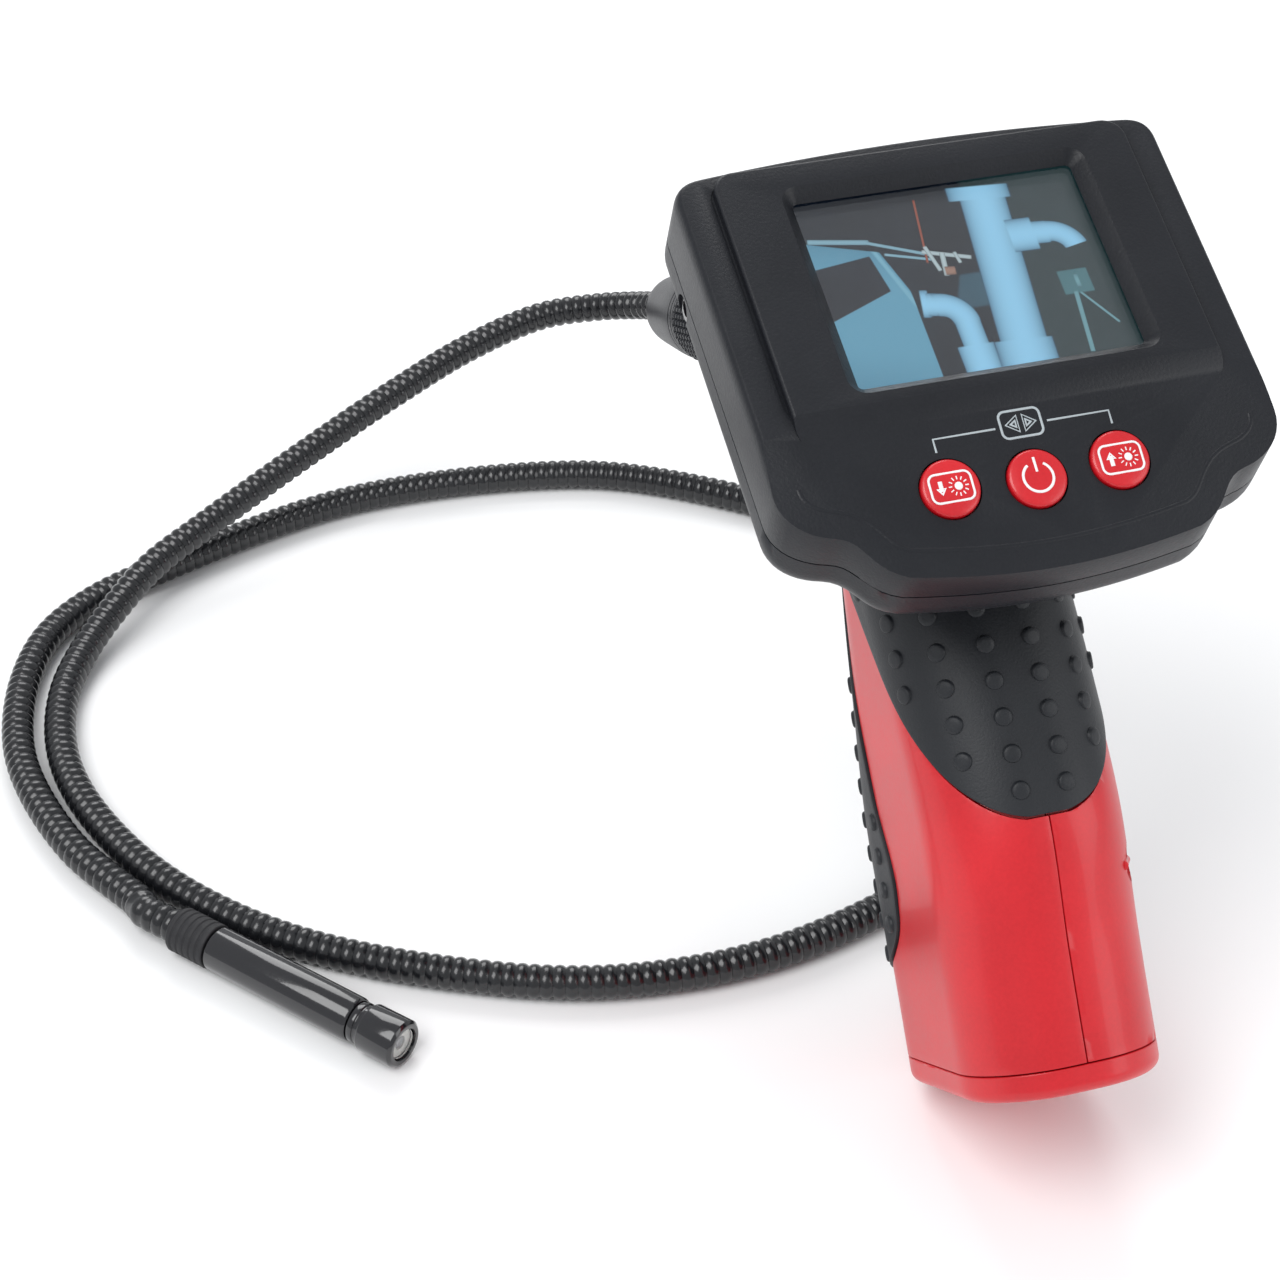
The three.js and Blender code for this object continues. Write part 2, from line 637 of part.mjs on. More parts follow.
function makeCap() {
  const round = (z) => {
    const below = Math.max(0, CAP_ROUND - z) / CAP_ROUND;
    return -CAP_ROUND * (1 - Math.sqrt(Math.max(0, 1 - below ** 2)));
  };
  const tongueOuter = -WALL - GRIP_DEPTH / 2 - GAP;
  return cut(
    join(
      solid(handleSolid(round, 0, CAP_HEIGHT, 5)),
      solid(handleSolid(tongueOuter, CAP_FLOOR, TONGUE_TOP, 2)),
    ),
    solid(handleSolid(tongueOuter - TONGUE_WALL, CAP_FLOOR, TONGUE_TOP + 1, 2)),
  );
}

// ---- Battery pack ----
const trayMiddle = handleMiddle(TRAY_BOTTOM + CELL_LENGTH / 2);
const cellPlaces = () =>
  [-1, 1].flatMap((row) =>
    [-1, 1].map((side) => [(side * CELL_PITCH) / 2, trayMiddle + (row * ROW_PITCH) / 2]),
  );

function makeCell() {
  return turnedUp(
    [[0, 0], [CELL_RADIUS, 0], [CELL_RADIUS, CELL_LENGTH - 1], [2.7, CELL_LENGTH - 1],
      [2.7, CELL_LENGTH], [0, CELL_LENGTH]],
    16,
  );
}

const CELL_BOTTOM = TRAY_BOTTOM + TRAY_PLATE + GAP;
const TRAY_TOP = CELL_BOTTOM + CELL_LENGTH + GAP + TRAY_PLATE;

// Two end plates joined by a web between the rows of cells
function makeTray() {
  const halfWidth = CELL_PITCH / 2 + CELL_RADIUS + 0.4;
  const halfDepth = ROW_PITCH / 2 + CELL_RADIUS + 0.4;
  const end = roundedRectangle(2 * halfWidth, 2 * halfDepth, CELL_RADIUS, trayMiddle);
  const halfWeb = ROW_PITCH / 2 - CELL_RADIUS - GAP;
  return join(
    solid(plate(end, TRAY_BOTTOM, TRAY_BOTTOM + TRAY_PLATE)),
    solid(plate(end, TRAY_TOP - TRAY_PLATE, TRAY_TOP)),
    solid(
      block(
        [-halfWidth + 2, trayMiddle - halfWeb, TRAY_BOTTOM + 0.5],
        [halfWidth - 2, trayMiddle + halfWeb, TRAY_TOP - 0.5],
      ),
    ),
  );
}

const contactPlate = (bottom) =>
  block([-9, trayMiddle - 10, bottom], [9, trayMiddle + 10, bottom + 0.5]);

// ---- Probe connector, on the barrel's axis ----
const NUT_START = BARREL_END + GAP;
const NUT_END = NUT_START + NUT_LENGTH;
const FLANGE_START = BARREL_END + SPIGOT_LENGTH + GAP;

function makeNut() {
  const ribs = [];
  const pitch = (NUT_LENGTH - 3) / NUT_RIBS;
  for (let i = 0; i < NUT_RIBS; i++) {
    const start = NUT_START + 1.5 + i * pitch;
    ribs.push([NUT_RADIUS - 0.8, start], [NUT_RADIUS, start + 0.5]);
    ribs.push([NUT_RADIUS, start + pitch - 1.2], [NUT_RADIUS - 0.8, start + pitch - 0.7]);
  }
  return turned([
    [SPIGOT_RADIUS + GAP, NUT_START],
    [NUT_RADIUS - 0.8, NUT_START],
    ...ribs,
    [NUT_RADIUS - 0.8, NUT_END],
    [PLUG_RADIUS + GAP, NUT_END],
    [PLUG_RADIUS + GAP, FLANGE_START + 2.5],
    [SPIGOT_RADIUS + GAP, FLANGE_START + 2.5],
  ]);
}

const CONNECTOR_END = NUT_END + GAP + CONNECTOR_LENGTH;

function makeConnector() {
  const body = NUT_END + GAP;
  return turned([
    [0, FLANGE_START],
    [SPIGOT_RADIUS, FLANGE_START],
    [SPIGOT_RADIUS, FLANGE_START + 2.2],
    [PLUG_RADIUS, FLANGE_START + 2.2],
    [PLUG_RADIUS, body],
    [CONNECTOR_RADIUS, body],
    [CONNECTOR_RADIUS, body + 4],
    [lerp(CONNECTOR_RADIUS, CONNECTOR_TIP_RADIUS, 0.45), body + 15],
    [CONNECTOR_TIP_RADIUS, CONNECTOR_END - 1.5],
    [CONNECTOR_TIP_RADIUS - 1, CONNECTOR_END],
    [0, CONNECTOR_END],
  ]);
}

function makeSocket() {
  const start = BARREL_END - 10;
  const end = BARREL_END + SPIGOT_LENGTH;
  return turned([
    [0, start],
    [SOCKET_RADIUS, start],
    [SOCKET_RADIUS, end],
    [SOCKET_RADIUS - 1.2, end],
    [SOCKET_RADIUS - 1.2, end - 8],
    [0, end - 8],
  ], 18);
}

function makePlugPins() {
  const start = BARREL_END + SPIGOT_LENGTH - 7;
  return turned([[0, start], [SOCKET_RADIUS - 1.2 - GAP, start],
    [SOCKET_RADIUS - 1.2 - GAP, FLANGE_START - GAP], [0, FLANGE_START - GAP]], 16);
}

// Round cable along a route.
function cable(points, radius, steps, sides) {
  const route = new THREE.CatmullRomCurve3(points.map((point) => new THREE.Vector3(...point)), false, "centripetal");
  const section = new THREE.Shape();
  section.absarc(0, 0, radius, 0, 2 * Math.PI);
  const ring = section.getPoints(sides / 2).slice(0, -1);
  return new THREE.ExtrudeGeometry(new THREE.Shape(ring), {
    extrudePath: route,
    steps,
    bevelEnabled: false,
  });
}

// ---- Assembly of the housing ----
const device = new THREE.Group();
const head = new THREE.Group();
head.position.set(0, -DISPLAY_AHEAD, DISPLAY_HEIGHT);
head.rotation.x = HEAD_TILT;
device.add(head);
const keypad = new THREE.Group();
keypad.position.set(0, CREASE, RIM);
keypad.rotation.x = KEY_PANEL_TILT;
head.add(keypad);
const barrelGroup = new THREE.Group();
barrelGroup.position.set(0, -BARREL_AHEAD, BARREL_HEIGHT);
barrelGroup.rotation.x = BARREL_RISE;
device.add(barrelGroup);

addPart(head, "head_front", makeHeadFront(), blackPlastic());
const windowShape = roundedRectangle(
  PICTURE.width + 2 * (WINDOW_LIP + WINDOW_SEAT - GAP),
  PICTURE.height + 2 * (WINDOW_LIP + WINDOW_SEAT - GAP),
  1,
);
addPart(head, "screen_window", plate(windowShape, -WINDOW_THICK, 0),
  finish(0x223040, 0.08, 0, { transparent: true, opacity: 0.4 })).position.x = DISPLAY_OFFSET;
const lcdShape = roundedRectangle(LCD.width, LCD.height, 0.4);
const lcdTop = FRONT_BOSS_TOP - GAP;
addPart(head, "lcd_panel", plate(lcdShape, lcdTop - LCD.thick, lcdTop), finish(0x4f6f86, 0.3))
  .position.x = DISPLAY_OFFSET;
addPart(head, "display_frame", makeDisplayFrame(), paleNylon()).position.x = DISPLAY_OFFSET;
addPart(head, "main_board", makeMainBoard(), circuitBoard());
addPart(head, "video_jack", makeJack(), glossBlack());

const KEY_NAMES = ["key_dim", "key_power", "key_bright"];
const SWITCH_NAMES = ["switch_dim", "switch_power", "switch_bright"];
keyPlaces().forEach(([x, y], i) => {
  addPart(keypad, KEY_NAMES[i], makeKey(), redPlastic()).position.set(x, y, 0);
  const below = CREASE + y * Math.cos(KEY_PANEL_TILT) + 1;
  addPart(head, SWITCH_NAMES[i], makeSwitch(), glossBlack()).position.set(x, below, BOARD_TOP + GAP);
});
SCREW_PLACES.forEach(([x, y], i) => {
  const length = FRONT_BOSS_TOP - 2 - SCREW_SEAT - GAP;
  const screw = addPart(head, `head_screw_${i + 1}`, makeScrew(length), steel());
  screw.position.set(x, y, SCREW_SEAT - GAP);
});

addPart(device, "rear_housing", makeRearHousing(), blackPlastic());
addPart(device, "handle_left", makeHandleHalf(-1), redPlastic());
addPart(device, "handle_right", makeHandleHalf(1), redPlastic());
addPart(device, "front_grip", makeGrip(frontGripRows, frontMiddle), rubber());
addPart(device, "rear_grip", makeGrip(rearGripRows, rearMiddle), rubber());
addPart(device, "battery_cap", makeCap(), redPlastic());
HANDLE_SCREWS.forEach(([y, z], i) => {
  const seat = HANDLE_HALF_WIDTH - 0.4 - 4;
  const screw = addPart(device, `handle_screw_${i + 1}`, makeScrew(seat + 9), steel());
  screw.position.set(seat + GAP, y, z);
  screw.rotation.y = -Math.PI / 2;
});

addPart(device, "cell_tray", makeTray(), blackPlastic());
cellPlaces().forEach(([x, y], i) => {
  const cell = addPart(device, `cell_${i + 1}`, makeCell(), steel());
  cell.position.set(x, y, CELL_BOTTOM);
});
addPart(device, "upper_contact", contactPlate(TRAY_TOP + GAP), brass());
addPart(device, "cap_contact", contactPlate(TRAY_BOTTOM - 1.5), brass());
addPart(device, "power_board", block([-11, -14, TRAY_TOP + 3], [11, -14 + BOARD_THICK, TRAY_TOP + 29]), circuitBoard());

addPart(barrelGroup, "probe_socket", makeSocket(), paleNylon());
addPart(barrelGroup, "coupling_nut", makeNut(), blackPlastic());
addPart(barrelGroup, "probe_connector", makeConnector(), blackPlastic());
addPart(barrelGroup, "plug_pins", makePlugPins(), brass());
addPart(barrelGroup, "probe_harness",
  cable([[0, BARREL_END - 10 - GAP, 0], [0, 110, 0], [2, 80, -2], [0, 55, 0], [0, 40, 4], [0, 31, 6]], 1.6, 10, 6),
  finish(0x202020, 0.6));

// ---- Set the housing down on its heel, centred over the origin ----
device.rotation.x = -LEAN;
device.updateMatrixWorld(true);
const box = new THREE.Box3();
device.traverse((piece) => {
  if (piece.isMesh && !["probe_connector", "coupling_nut", "plug_pins"].includes(piece.name))
    box.union(new THREE.Box3().setFromObject(piece, true));
});
device.position.set(0, -(box.min.y + box.max.y) / 2, -box.min.z);
device.updateMatrixWorld(true);

// ---- Gooseneck: its route on the table, and the camera head on its end ----
const LIE = CABLE_RADIUS + 0.1; // height of its middle where it lies on the table
const CAMERA_HEADING = new THREE.Vector3(0.637, -0.77, 0).normalize();
const CAMERA_TIP = new THREE.Vector3(-107.2, -33.1, CAMERA_RADIUS + 0.05);
const CAMERA_LENGTH = SLEEVE_LENGTH + CAMERA_TUBE_LENGTH + NECK_LENGTH + TIP_LENGTH;
const ROUTE = [
  [-3.5, 159.5, 39.8],
  [-12.5, 167.8, 36],
  [-26, 171, 33.8],
  [-45, 166.5, 31],
  [-66, 157, 27.5],
  [-92.7, 144.5, 21.5],
  [-118.1, 133.6, 14],
  [-131.1, 126, 11.2],
  [-140.6, 117.6, 8.2],
  [-149.6, 107.6, 5],
  [-156.2, 94.8, LIE],
  [-159.3, 76.4, LIE],
  [-157.5, 58.8, LIE],
  [-149.4, 36.4, LIE],
  [-138.3, 18.8, LIE],
  [-121, 1.3, LIE],
  [-94.2, -15.3, LIE],
  [-66.4, -26.1, LIE],
  [-36.2, -28.6, LIE],
  [-5.9, -22, LIE],
  [24, -8, LIE],
  [46, 15, LIE],
  [55, 44, LIE],
  [50, 76, LIE],
  [34, 102, LIE],
  [-7.7, 137.1, LIE],
  [-30.8, 146.3, LIE],
  [-80.4, 149.5, LIE],
  [-129.1, 134.4, LIE],
  [-146.2, 126.3, LIE],
  [-157.3, 115.9, LIE],
  [-164.4, 100.7, LIE],
  [-168.1, 81, LIE],
  [-167.2, 64.9, LIE],
  [-160.7, 41.6, LIE],
  [-150.2, 21.6, LIE + 0.6],
];

const inspectionCamera = new THREE.Group();
inspectionCamera.add(device);

// The route leaves the connector straight along the barrel and meets the camera head straight.
const cableStart = barrelGroup.localToWorld(new THREE.Vector3(0, CONNECTOR_END + GAP, 0));
const cableStraight = barrelGroup.localToWorld(new THREE.Vector3(0, CONNECTOR_END + GAP + 8, 0));
const cameraEnd = CAMERA_TIP.clone().addScaledVector(CAMERA_HEADING, -CAMERA_LENGTH - GAP);
const beforeCamera = cameraEnd.clone().addScaledVector(CAMERA_HEADING, -9);
const route = [cableStart, cableStraight, ...ROUTE.map((point) => new THREE.Vector3(...point)), beforeCamera, cameraEnd];
addPart(inspectionCamera, "gooseneck", cable(route.map((point) => point.toArray()), CABLE_RADIUS, 64, 10),
  finish(0x101114, 0.4, 0.2));

const cameraHead = new THREE.Group();
cameraHead.position.copy(CAMERA_TIP).addScaledVector(CAMERA_HEADING, -CAMERA_LENGTH);
cameraHead.quaternion.setFromUnitVectors(new THREE.Vector3(0, 1, 0), CAMERA_HEADING);
inspectionCamera.add(cameraHead);
const CAMERA_WALL = 0.7;
const CAMERA_BORE = CAMERA_RADIUS - 0.5 - CAMERA_WALL;
const tubeStart = SLEEVE_LENGTH + GAP;
const tubeEnd = SLEEVE_LENGTH + CAMERA_TUBE_LENGTH;
const tipStart = tubeEnd + GAP;
const lensSeat = CAMERA_LENGTH - 1;

addPart(cameraHead, "camera_sleeve", turned([[0, 0], [CAMERA_RADIUS - 0.4, 0], [CAMERA_RADIUS - 0.1, 0.5],
  [CAMERA_RADIUS - 0.1, SLEEVE_LENGTH], [0, SLEEVE_LENGTH]], 20), finish(0x1b1c20, 0.7));
addPart(cameraHead, "camera_tube", turned([[CAMERA_BORE, tubeStart + 2], [0, tubeStart + 2], [0, tubeStart],
  [CAMERA_RADIUS - 0.3, tubeStart], [CAMERA_RADIUS - 0.3, tubeEnd - 1],
  [CAMERA_RADIUS - 0.6, tubeEnd], [CAMERA_BORE, tubeEnd]], 20), glossBlack());
addPart(cameraHead, "camera_tip", turned([[NECK_RADIUS, tipStart], [NECK_RADIUS, tipStart + NECK_LENGTH - GAP],
  [CAMERA_RADIUS, tipStart + NECK_LENGTH - GAP], [CAMERA_RADIUS, CAMERA_LENGTH - 0.5],
  [CAMERA_RADIUS - 0.5, CAMERA_LENGTH], [LENS_RADIUS, CAMERA_LENGTH], [LENS_RADIUS, lensSeat - 1.4],
  [CAMERA_BORE - 0.8, lensSeat - 1.4], [CAMERA_BORE - 0.8, tipStart]], 20), glossBlack());
addPart(cameraHead, "lens_window", turned([[0, lensSeat - 0.3], [LENS_RADIUS - GAP, lensSeat - 0.3],
  [LENS_RADIUS - GAP, lensSeat + 0.5], [0, lensSeat + 0.5]], 18),
  finish(0x8a8d90, 0.1, 0, { transparent: true, opacity: 0.4 }));
addPart(cameraHead, "led_board", turned([[1.5, lensSeat - 1.1], [LENS_RADIUS - GAP, lensSeat - 1.1],
  [LENS_RADIUS - GAP, lensSeat - 0.6], [1.5, lensSeat - 0.6]], 16), finish(0xe8e4d0, 0.4));
addPart(cameraHead, "camera_module", turned([[0, tubeEnd - 12], [CAMERA_BORE - 1.6, tubeEnd - 12],
  [CAMERA_BORE - 1.6, lensSeat - 1.7], [1.1, lensSeat - 1.7], [1.1, lensSeat - 0.7], [0, lensSeat - 0.7]], 12),
  finish(0x30343a, 0.4));

export default inspectionCamera;
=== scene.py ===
"""Looks of a handheld inspection camera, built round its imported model.

Lengths are in millimetres until a piece is placed, and its mesh then lies in metres in the
model's own frame: +X to the user's right, -Y towards the user, +Z up.
"""

from math import atan2, cos, hypot, pi, radians, sin, sqrt

import bpy
from mathutils import Matrix, Vector


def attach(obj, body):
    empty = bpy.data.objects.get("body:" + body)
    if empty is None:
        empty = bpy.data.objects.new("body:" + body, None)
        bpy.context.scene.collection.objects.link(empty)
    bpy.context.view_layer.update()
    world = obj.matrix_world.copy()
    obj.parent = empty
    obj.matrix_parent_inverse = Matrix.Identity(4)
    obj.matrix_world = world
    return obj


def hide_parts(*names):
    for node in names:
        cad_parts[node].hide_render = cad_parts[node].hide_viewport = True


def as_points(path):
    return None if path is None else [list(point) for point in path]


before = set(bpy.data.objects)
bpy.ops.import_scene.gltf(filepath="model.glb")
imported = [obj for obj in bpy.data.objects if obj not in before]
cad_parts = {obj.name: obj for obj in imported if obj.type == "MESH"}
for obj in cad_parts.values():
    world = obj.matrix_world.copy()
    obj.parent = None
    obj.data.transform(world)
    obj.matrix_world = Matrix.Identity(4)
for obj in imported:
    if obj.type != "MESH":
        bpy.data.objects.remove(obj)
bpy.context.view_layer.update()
bpy.ops.object.select_all(action="DESELECT")

MM = 0.001
GAP = 0.3

# ---- Frames of the housing's groups ----
LEAN = radians(39)
HEAD_TILT = radians(61.9)
KEY_PANEL_TILT = radians(12)
BARREL_RISE = radians(12.5)


def turned_frame(x, y, z, tilt):
    return Matrix.Translation((x, y, z)) @ Matrix.Rotation(tilt, 4, "X")


CREASE, RIM = -26.2, 0.9
UPRIGHT_TO_LYING = Matrix.Rotation(-pi / 2, 4, "X")
DEVICE = turned_frame(0, -84.41, 17.545, -LEAN)
HEAD_SEAT = turned_frame(0, -35.8, 142.3, HEAD_TILT)
KEYPAD_SEAT = turned_frame(0, CREASE, RIM, KEY_PANEL_TILT)
BARREL_SEAT = turned_frame(0, -31.9, 124.7, BARREL_RISE)
HEAD = DEVICE @ HEAD_SEAT
KEYPAD = HEAD @ KEYPAD_SEAT
BARREL = DEVICE @ BARREL_SEAT @ UPRIGHT_TO_LYING
DISPLAY_OFFSET = 0.8
DISPLAY = HEAD @ Matrix.Translation((DISPLAY_OFFSET, 0, 0))


# ---- Camera ----
def set_up_camera():
    """The camera stands ahead and left of the display and looks down at it."""
    bpy.ops.object.camera_add(
        location=(-0.1674, -0.3978, 0.3909), rotation=(radians(51.92), 0, radians(-16.37))
    )
    camera = bpy.context.object
    camera.name = "camera"
    camera.data.sensor_width = 36
    camera.data.lens = 77.43
    bpy.context.scene.camera = camera
    camera.select_set(False)


set_up_camera()


# ---- Mesh helpers ----
def finish_edit(piece):
    bpy.ops.object.mode_set(mode="OBJECT")
    piece.select_set(False)


def column(name, sides, levels, place, ring=False):
    """A closed stack of rings. place(i, k) gives the point of side i on level k.

    With ring set, the last level meets the first, as round a tube's wall.
    """
    bpy.ops.mesh.primitive_circle_add(
        vertices=sides, radius=1, fill_type="NOTHING" if ring else "NGON", location=(0, 0, 0)
    )
    piece = bpy.context.object
    piece.name = piece.data.name = name
    bpy.ops.object.mode_set(mode="EDIT")
    bpy.ops.mesh.select_all(action="SELECT")
    for _ in range(levels - 1):
        bpy.ops.mesh.extrude_region_move(TRANSFORM_OT_translate={"value": (0, 0, 1)})
    bpy.ops.object.mode_set(mode="OBJECT")
    for vertex in piece.data.vertices:
        x, y, z = vertex.co
        turn = atan2(-x, y) / (2 * pi) * sides
        vertex.co = place(round(turn) % sides, round(z))
    bpy.ops.object.mode_set(mode="EDIT")
    bpy.ops.mesh.select_all(action="SELECT")
    bpy.ops.mesh.remove_doubles(threshold=1e-4)
    bpy.ops.mesh.normals_make_consistent(inside=False)
    finish_edit(piece)
    return piece


def lathe(name, profile, sides=64, ring=False):
    """A piece turned about Z, from its (radius, height) points."""
    points = list(profile) + ([profile[0]] if ring else [])

    def place(i, k):
        radius, height = points[k]
        turn = 2 * pi * i / sides
        return radius * cos(turn), radius * sin(turn), height

    return column(name, sides, len(points), place, ring)


def slab(name, outline, levels):
    """An outline stacked through (height, inset) levels."""
    count = len(outline)
    normals = []
    for i in range(count):
        along = (outline[(i + 1) % count] - outline[i - 1]).normalized()
        normals.append(Vector((-along.y, along.x)))

    def place(i, k):
        height, inset = levels[k]
        point = outline[i] + normals[i] * inset
        return point.x, point.y, height

    return column(name, count, len(levels), place)


def patch(name, columns, rows, place):
    """A sheet with thickness. place(u, v, outer) takes u and v from 0 to 1."""
    bpy.ops.mesh.primitive_grid_add(
        x_subdivisions=columns, y_subdivisions=rows, size=1, location=(0, 0, 0)
    )
    piece = bpy.context.object
    piece.name = piece.data.name = name
    bpy.ops.object.mode_set(mode="EDIT")
    bpy.ops.mesh.select_all(action="SELECT")
    bpy.ops.mesh.extrude_region_move(TRANSFORM_OT_translate={"value": (0, 0, 1)})
    bpy.ops.object.mode_set(mode="OBJECT")
    for vertex in piece.data.vertices:
        x, y, z = vertex.co
        vertex.co = place(x + 0.5, y + 0.5, z > 0.5)
    bpy.ops.object.mode_set(mode="EDIT")
    bpy.ops.mesh.select_all(action="SELECT")
    bpy.ops.mesh.normals_make_consistent(inside=False)
    finish_edit(piece)
    return piece


def box(name, low, high):
    middle = [(a + b) / 2 for a, b in zip(low, high)]
    size = [b - a for a, b in zip(low, high)]
    bpy.ops.mesh.primitive_cube_add(size=1, location=middle, scale=size)
    piece = bpy.context.object
    piece.name = piece.data.name = name
    bpy.ops.object.transform_apply(location=True, rotation=True, scale=True)
    piece.select_set(False)
    return piece


def moved(piece, matrix):
    piece.data.transform(matrix)
    return piece


def apply_modifier(piece, kind, **settings):
    modifier = piece.modifiers.new(kind.lower(), kind)
    for key, value in settings.items():
        setattr(modifier, key, value)
    bpy.context.view_layer.objects.active = piece
    piece.select_set(True)
    bpy.ops.object.modifier_apply(modifier=modifier.name)
    piece.select_set(False)


def combine(piece, others, operation="DIFFERENCE"):
    """Cuts the others out of a piece, or joins them to it, and removes them."""
    for other in others:
        apply_modifier(piece, "BOOLEAN", object=other, operation=operation, solver="EXACT")
        bpy.data.objects.remove(other, do_unlink=True)
    return piece


def softened(piece, width=0.5, segments=3, angle=35):
    """Rounds the sharp edges and smooths the rest."""
    apply_modifier(
        piece, "BEVEL", width=width, segments=segments, limit_method="ANGLE",
        angle_limit=radians(angle), use_clamp_overlap=True, miter_outer="MITER_ARC",
    )
    return smoothed(piece)


def smoothed(piece, angle=32):
    bpy.context.view_layer.objects.active = piece
    piece.select_set(True)
    bpy.ops.object.shade_smooth_by_angle(angle=radians(angle))
    piece.select_set(False)
    return piece


def joined(name, pieces):
    for piece in pieces:
        piece.select_set(True)
    bpy.context.view_layer.objects.active = pieces[0]
    bpy.ops.object.join()
    pieces[0].name = pieces[0].data.name = name
    pieces[0].select_set(False)
    return pieces[0]


def copied(piece, name):
    twin = piece.copy()
    twin.data = piece.data.copy()
    twin.name = twin.data.name = name
    bpy.context.collection.objects.link(twin)
    return twin


def stroke(name, points, width, closed=False, lift=0.0):
    """A flat line of paint or a bead along points in the XY plane."""
    curve = bpy.data.curves.new(name, "CURVE")
    curve.dimensions = "3D"
    spline = curve.splines.new("POLY")
    spline.points.add(len(points) - 1)
    for slot, (x, y) in zip(spline.points, points):
        slot.co = (x, y, 0, 1)
    spline.use_cyclic_u = closed
    curve.bevel_depth = width / 2
    curve.bevel_resolution = 2
    curve.use_fill_caps = True
    piece = bpy.data.objects.new(name, curve)
    bpy.context.collection.objects.link(piece)
    bpy.context.view_layer.objects.active = piece
    piece.select_set(True)
    bpy.ops.object.convert(target="MESH")
    piece = bpy.context.object
    piece.select_set(False)
    return moved(piece, Matrix.Translation((0, 0, lift)) @ Matrix.Diagonal((1, 1, 0.35, 1)))


def circle_points(radius, start=0.0, end=360.0, count=24, centre=(0, 0)):
    turns = [radians(start + (end - start) * i / count) for i in range(count + 1)]
    return [(centre[0] + radius * cos(t), centre[1] + radius * sin(t)) for t in turns]


def rounded_rectangle(width, height, radius, centre=(0, 0), steps=8):
    points = []
    for corner in range(4):
        sign_x, sign_y = ((1, 1), (-1, 1), (-1, -1), (1, -1))[corner]
        middle = (centre[0] + sign_x * (width / 2 - radius), centre[1] + sign_y * (height / 2 - radius))
        points += circle_points(radius, 90 * corner, 90 * corner + 90, steps, middle)
    return [Vector(point) for point in points]


def rounded_edge(height, depth, inset, steps=6):
    """(height, inset) levels of a rounded rim that ends at a height."""
    turns = [pi / 2 * i / steps for i in range(steps + 1)]
    return [(height - depth + depth * sin(t), inset * (1 - cos(t))) for t in turns]


# ---- Shader helpers ----
class Wire:
    """A shader socket that takes part in sums."""

    def __init__(self, finish, socket):
        self.finish, self.socket = finish, socket

    def maths(self, operation, *others):
        return self.finish.add("ShaderNodeMath", {"operation": operation}, self, *others)

    def __add__(self, other):
        return self.maths("ADD", other)

    def __sub__(self, other):
        return self.maths("SUBTRACT", other)

    def __rsub__(self, other):
        return self.finish.add("ShaderNodeMath", {"operation": "SUBTRACT"}, other, self)

    def __mul__(self, other):
        return self.maths("MULTIPLY", other)

    def __truediv__(self, other):
        return self.maths("DIVIDE", other)

    def __lt__(self, other):
        return self.maths("LESS_THAN", other)

    def __gt__(self, other):
        return self.maths("GREATER_THAN", other)


class Finish:
    """A material whose nodes come from add()."""

    def __init__(self, name, color, roughness, metallic=0.0, **constants):
        self.material = bpy.data.materials.new(name)
        self.material.use_nodes = True
        self.material.diffuse_color = (*color, 1)
        self.nodes = self.material.node_tree.nodes
        self.shader = self.nodes["Principled BSDF"]
        self.shader.inputs["Base Color"].default_value = (*color, 1)
        self.shader.inputs["Roughness"].default_value = roughness
        self.shader.inputs["Metallic"].default_value = metallic
        for label, value in constants.items():
            socket_name = label.replace("_", " ").title().replace("Ior", "IOR")
            self.shader.inputs[socket_name].default_value = value
        self.place = self.add("ShaderNodeTexCoord", {}, output="Object")

    def add(self, kind, settings, *values, output=0, **named):
        node = self.nodes.new(kind)
        for key, value in settings.items():
            setattr(node, key, value)
        for index, value in enumerate(values):
            self.feed(node.inputs[index], value)
        for label, value in named.items():
            self.feed(node.inputs[label.replace("_", " ").title()], value)
        return Wire(self, node.outputs[output])

    def feed(self, socket, value):
        if isinstance(value, Wire):
            self.material.node_tree.links.new(value.socket, socket)
        else:
            socket.default_value = value

    def noise(self, scale, detail=2.0, place=None):
        return self.add(
            "ShaderNodeTexNoise", {}, Vector=place or self.place, Scale=scale, Detail=detail
        )

    def mix(self, share, first, second):
        node = self.nodes.new("ShaderNodeMix")
        node.data_type = "RGBA"
        self.feed(node.inputs[0], share)
        for socket, color in ((node.inputs[6], first), (node.inputs[7], second)):
            self.feed(socket, color if isinstance(color, Wire) else (*color, 1))
        return Wire(self, node.outputs[2])

    def color(self, value):
        self.feed(self.shader.inputs["Base Color"], value)

    def roughness(self, value):
        self.feed(self.shader.inputs["Roughness"], value)

    def bump(self, height, distance):
        bump = self.add("ShaderNodeBump", {}, Height=height, Distance=distance, Strength=1.0)
        self.feed(self.shader.inputs["Normal"], bump)

    def along(self, axis, origin=(0, 0, 0)):
        """Distance of the shaded point along an axis of the model."""
        offset = self.add("ShaderNodeVectorMath", {"operation": "SUBTRACT"}, self.place, tuple(origin))
        return self.add(
            "ShaderNodeVectorMath", {"operation": "DOT_PRODUCT"}, offset, tuple(axis), output="Value"
        )


def moulded(name, color, roughness, grain=2600, depth=0.00004, spread=0.1, **constants):
    """Moulded plastic or rubber: fine grain, with faint blotches of colour and gloss."""
    finish = Finish(name, color, roughness, **constants)
    fine = finish.noise(grain, 3)
    broad = finish.noise(55, 4)
    lighter = [min(1, channel * 1.5 + 0.006) for channel in color]
    darker = [channel * 0.78 for channel in color]
    finish.color(finish.mix(broad * 0.7 + fine * 0.3, darker, lighter))
    finish.roughness(broad * spread + (roughness - spread / 2) + (fine - 0.5) * 0.12)
    finish.bump(fine, depth)
    return finish.material


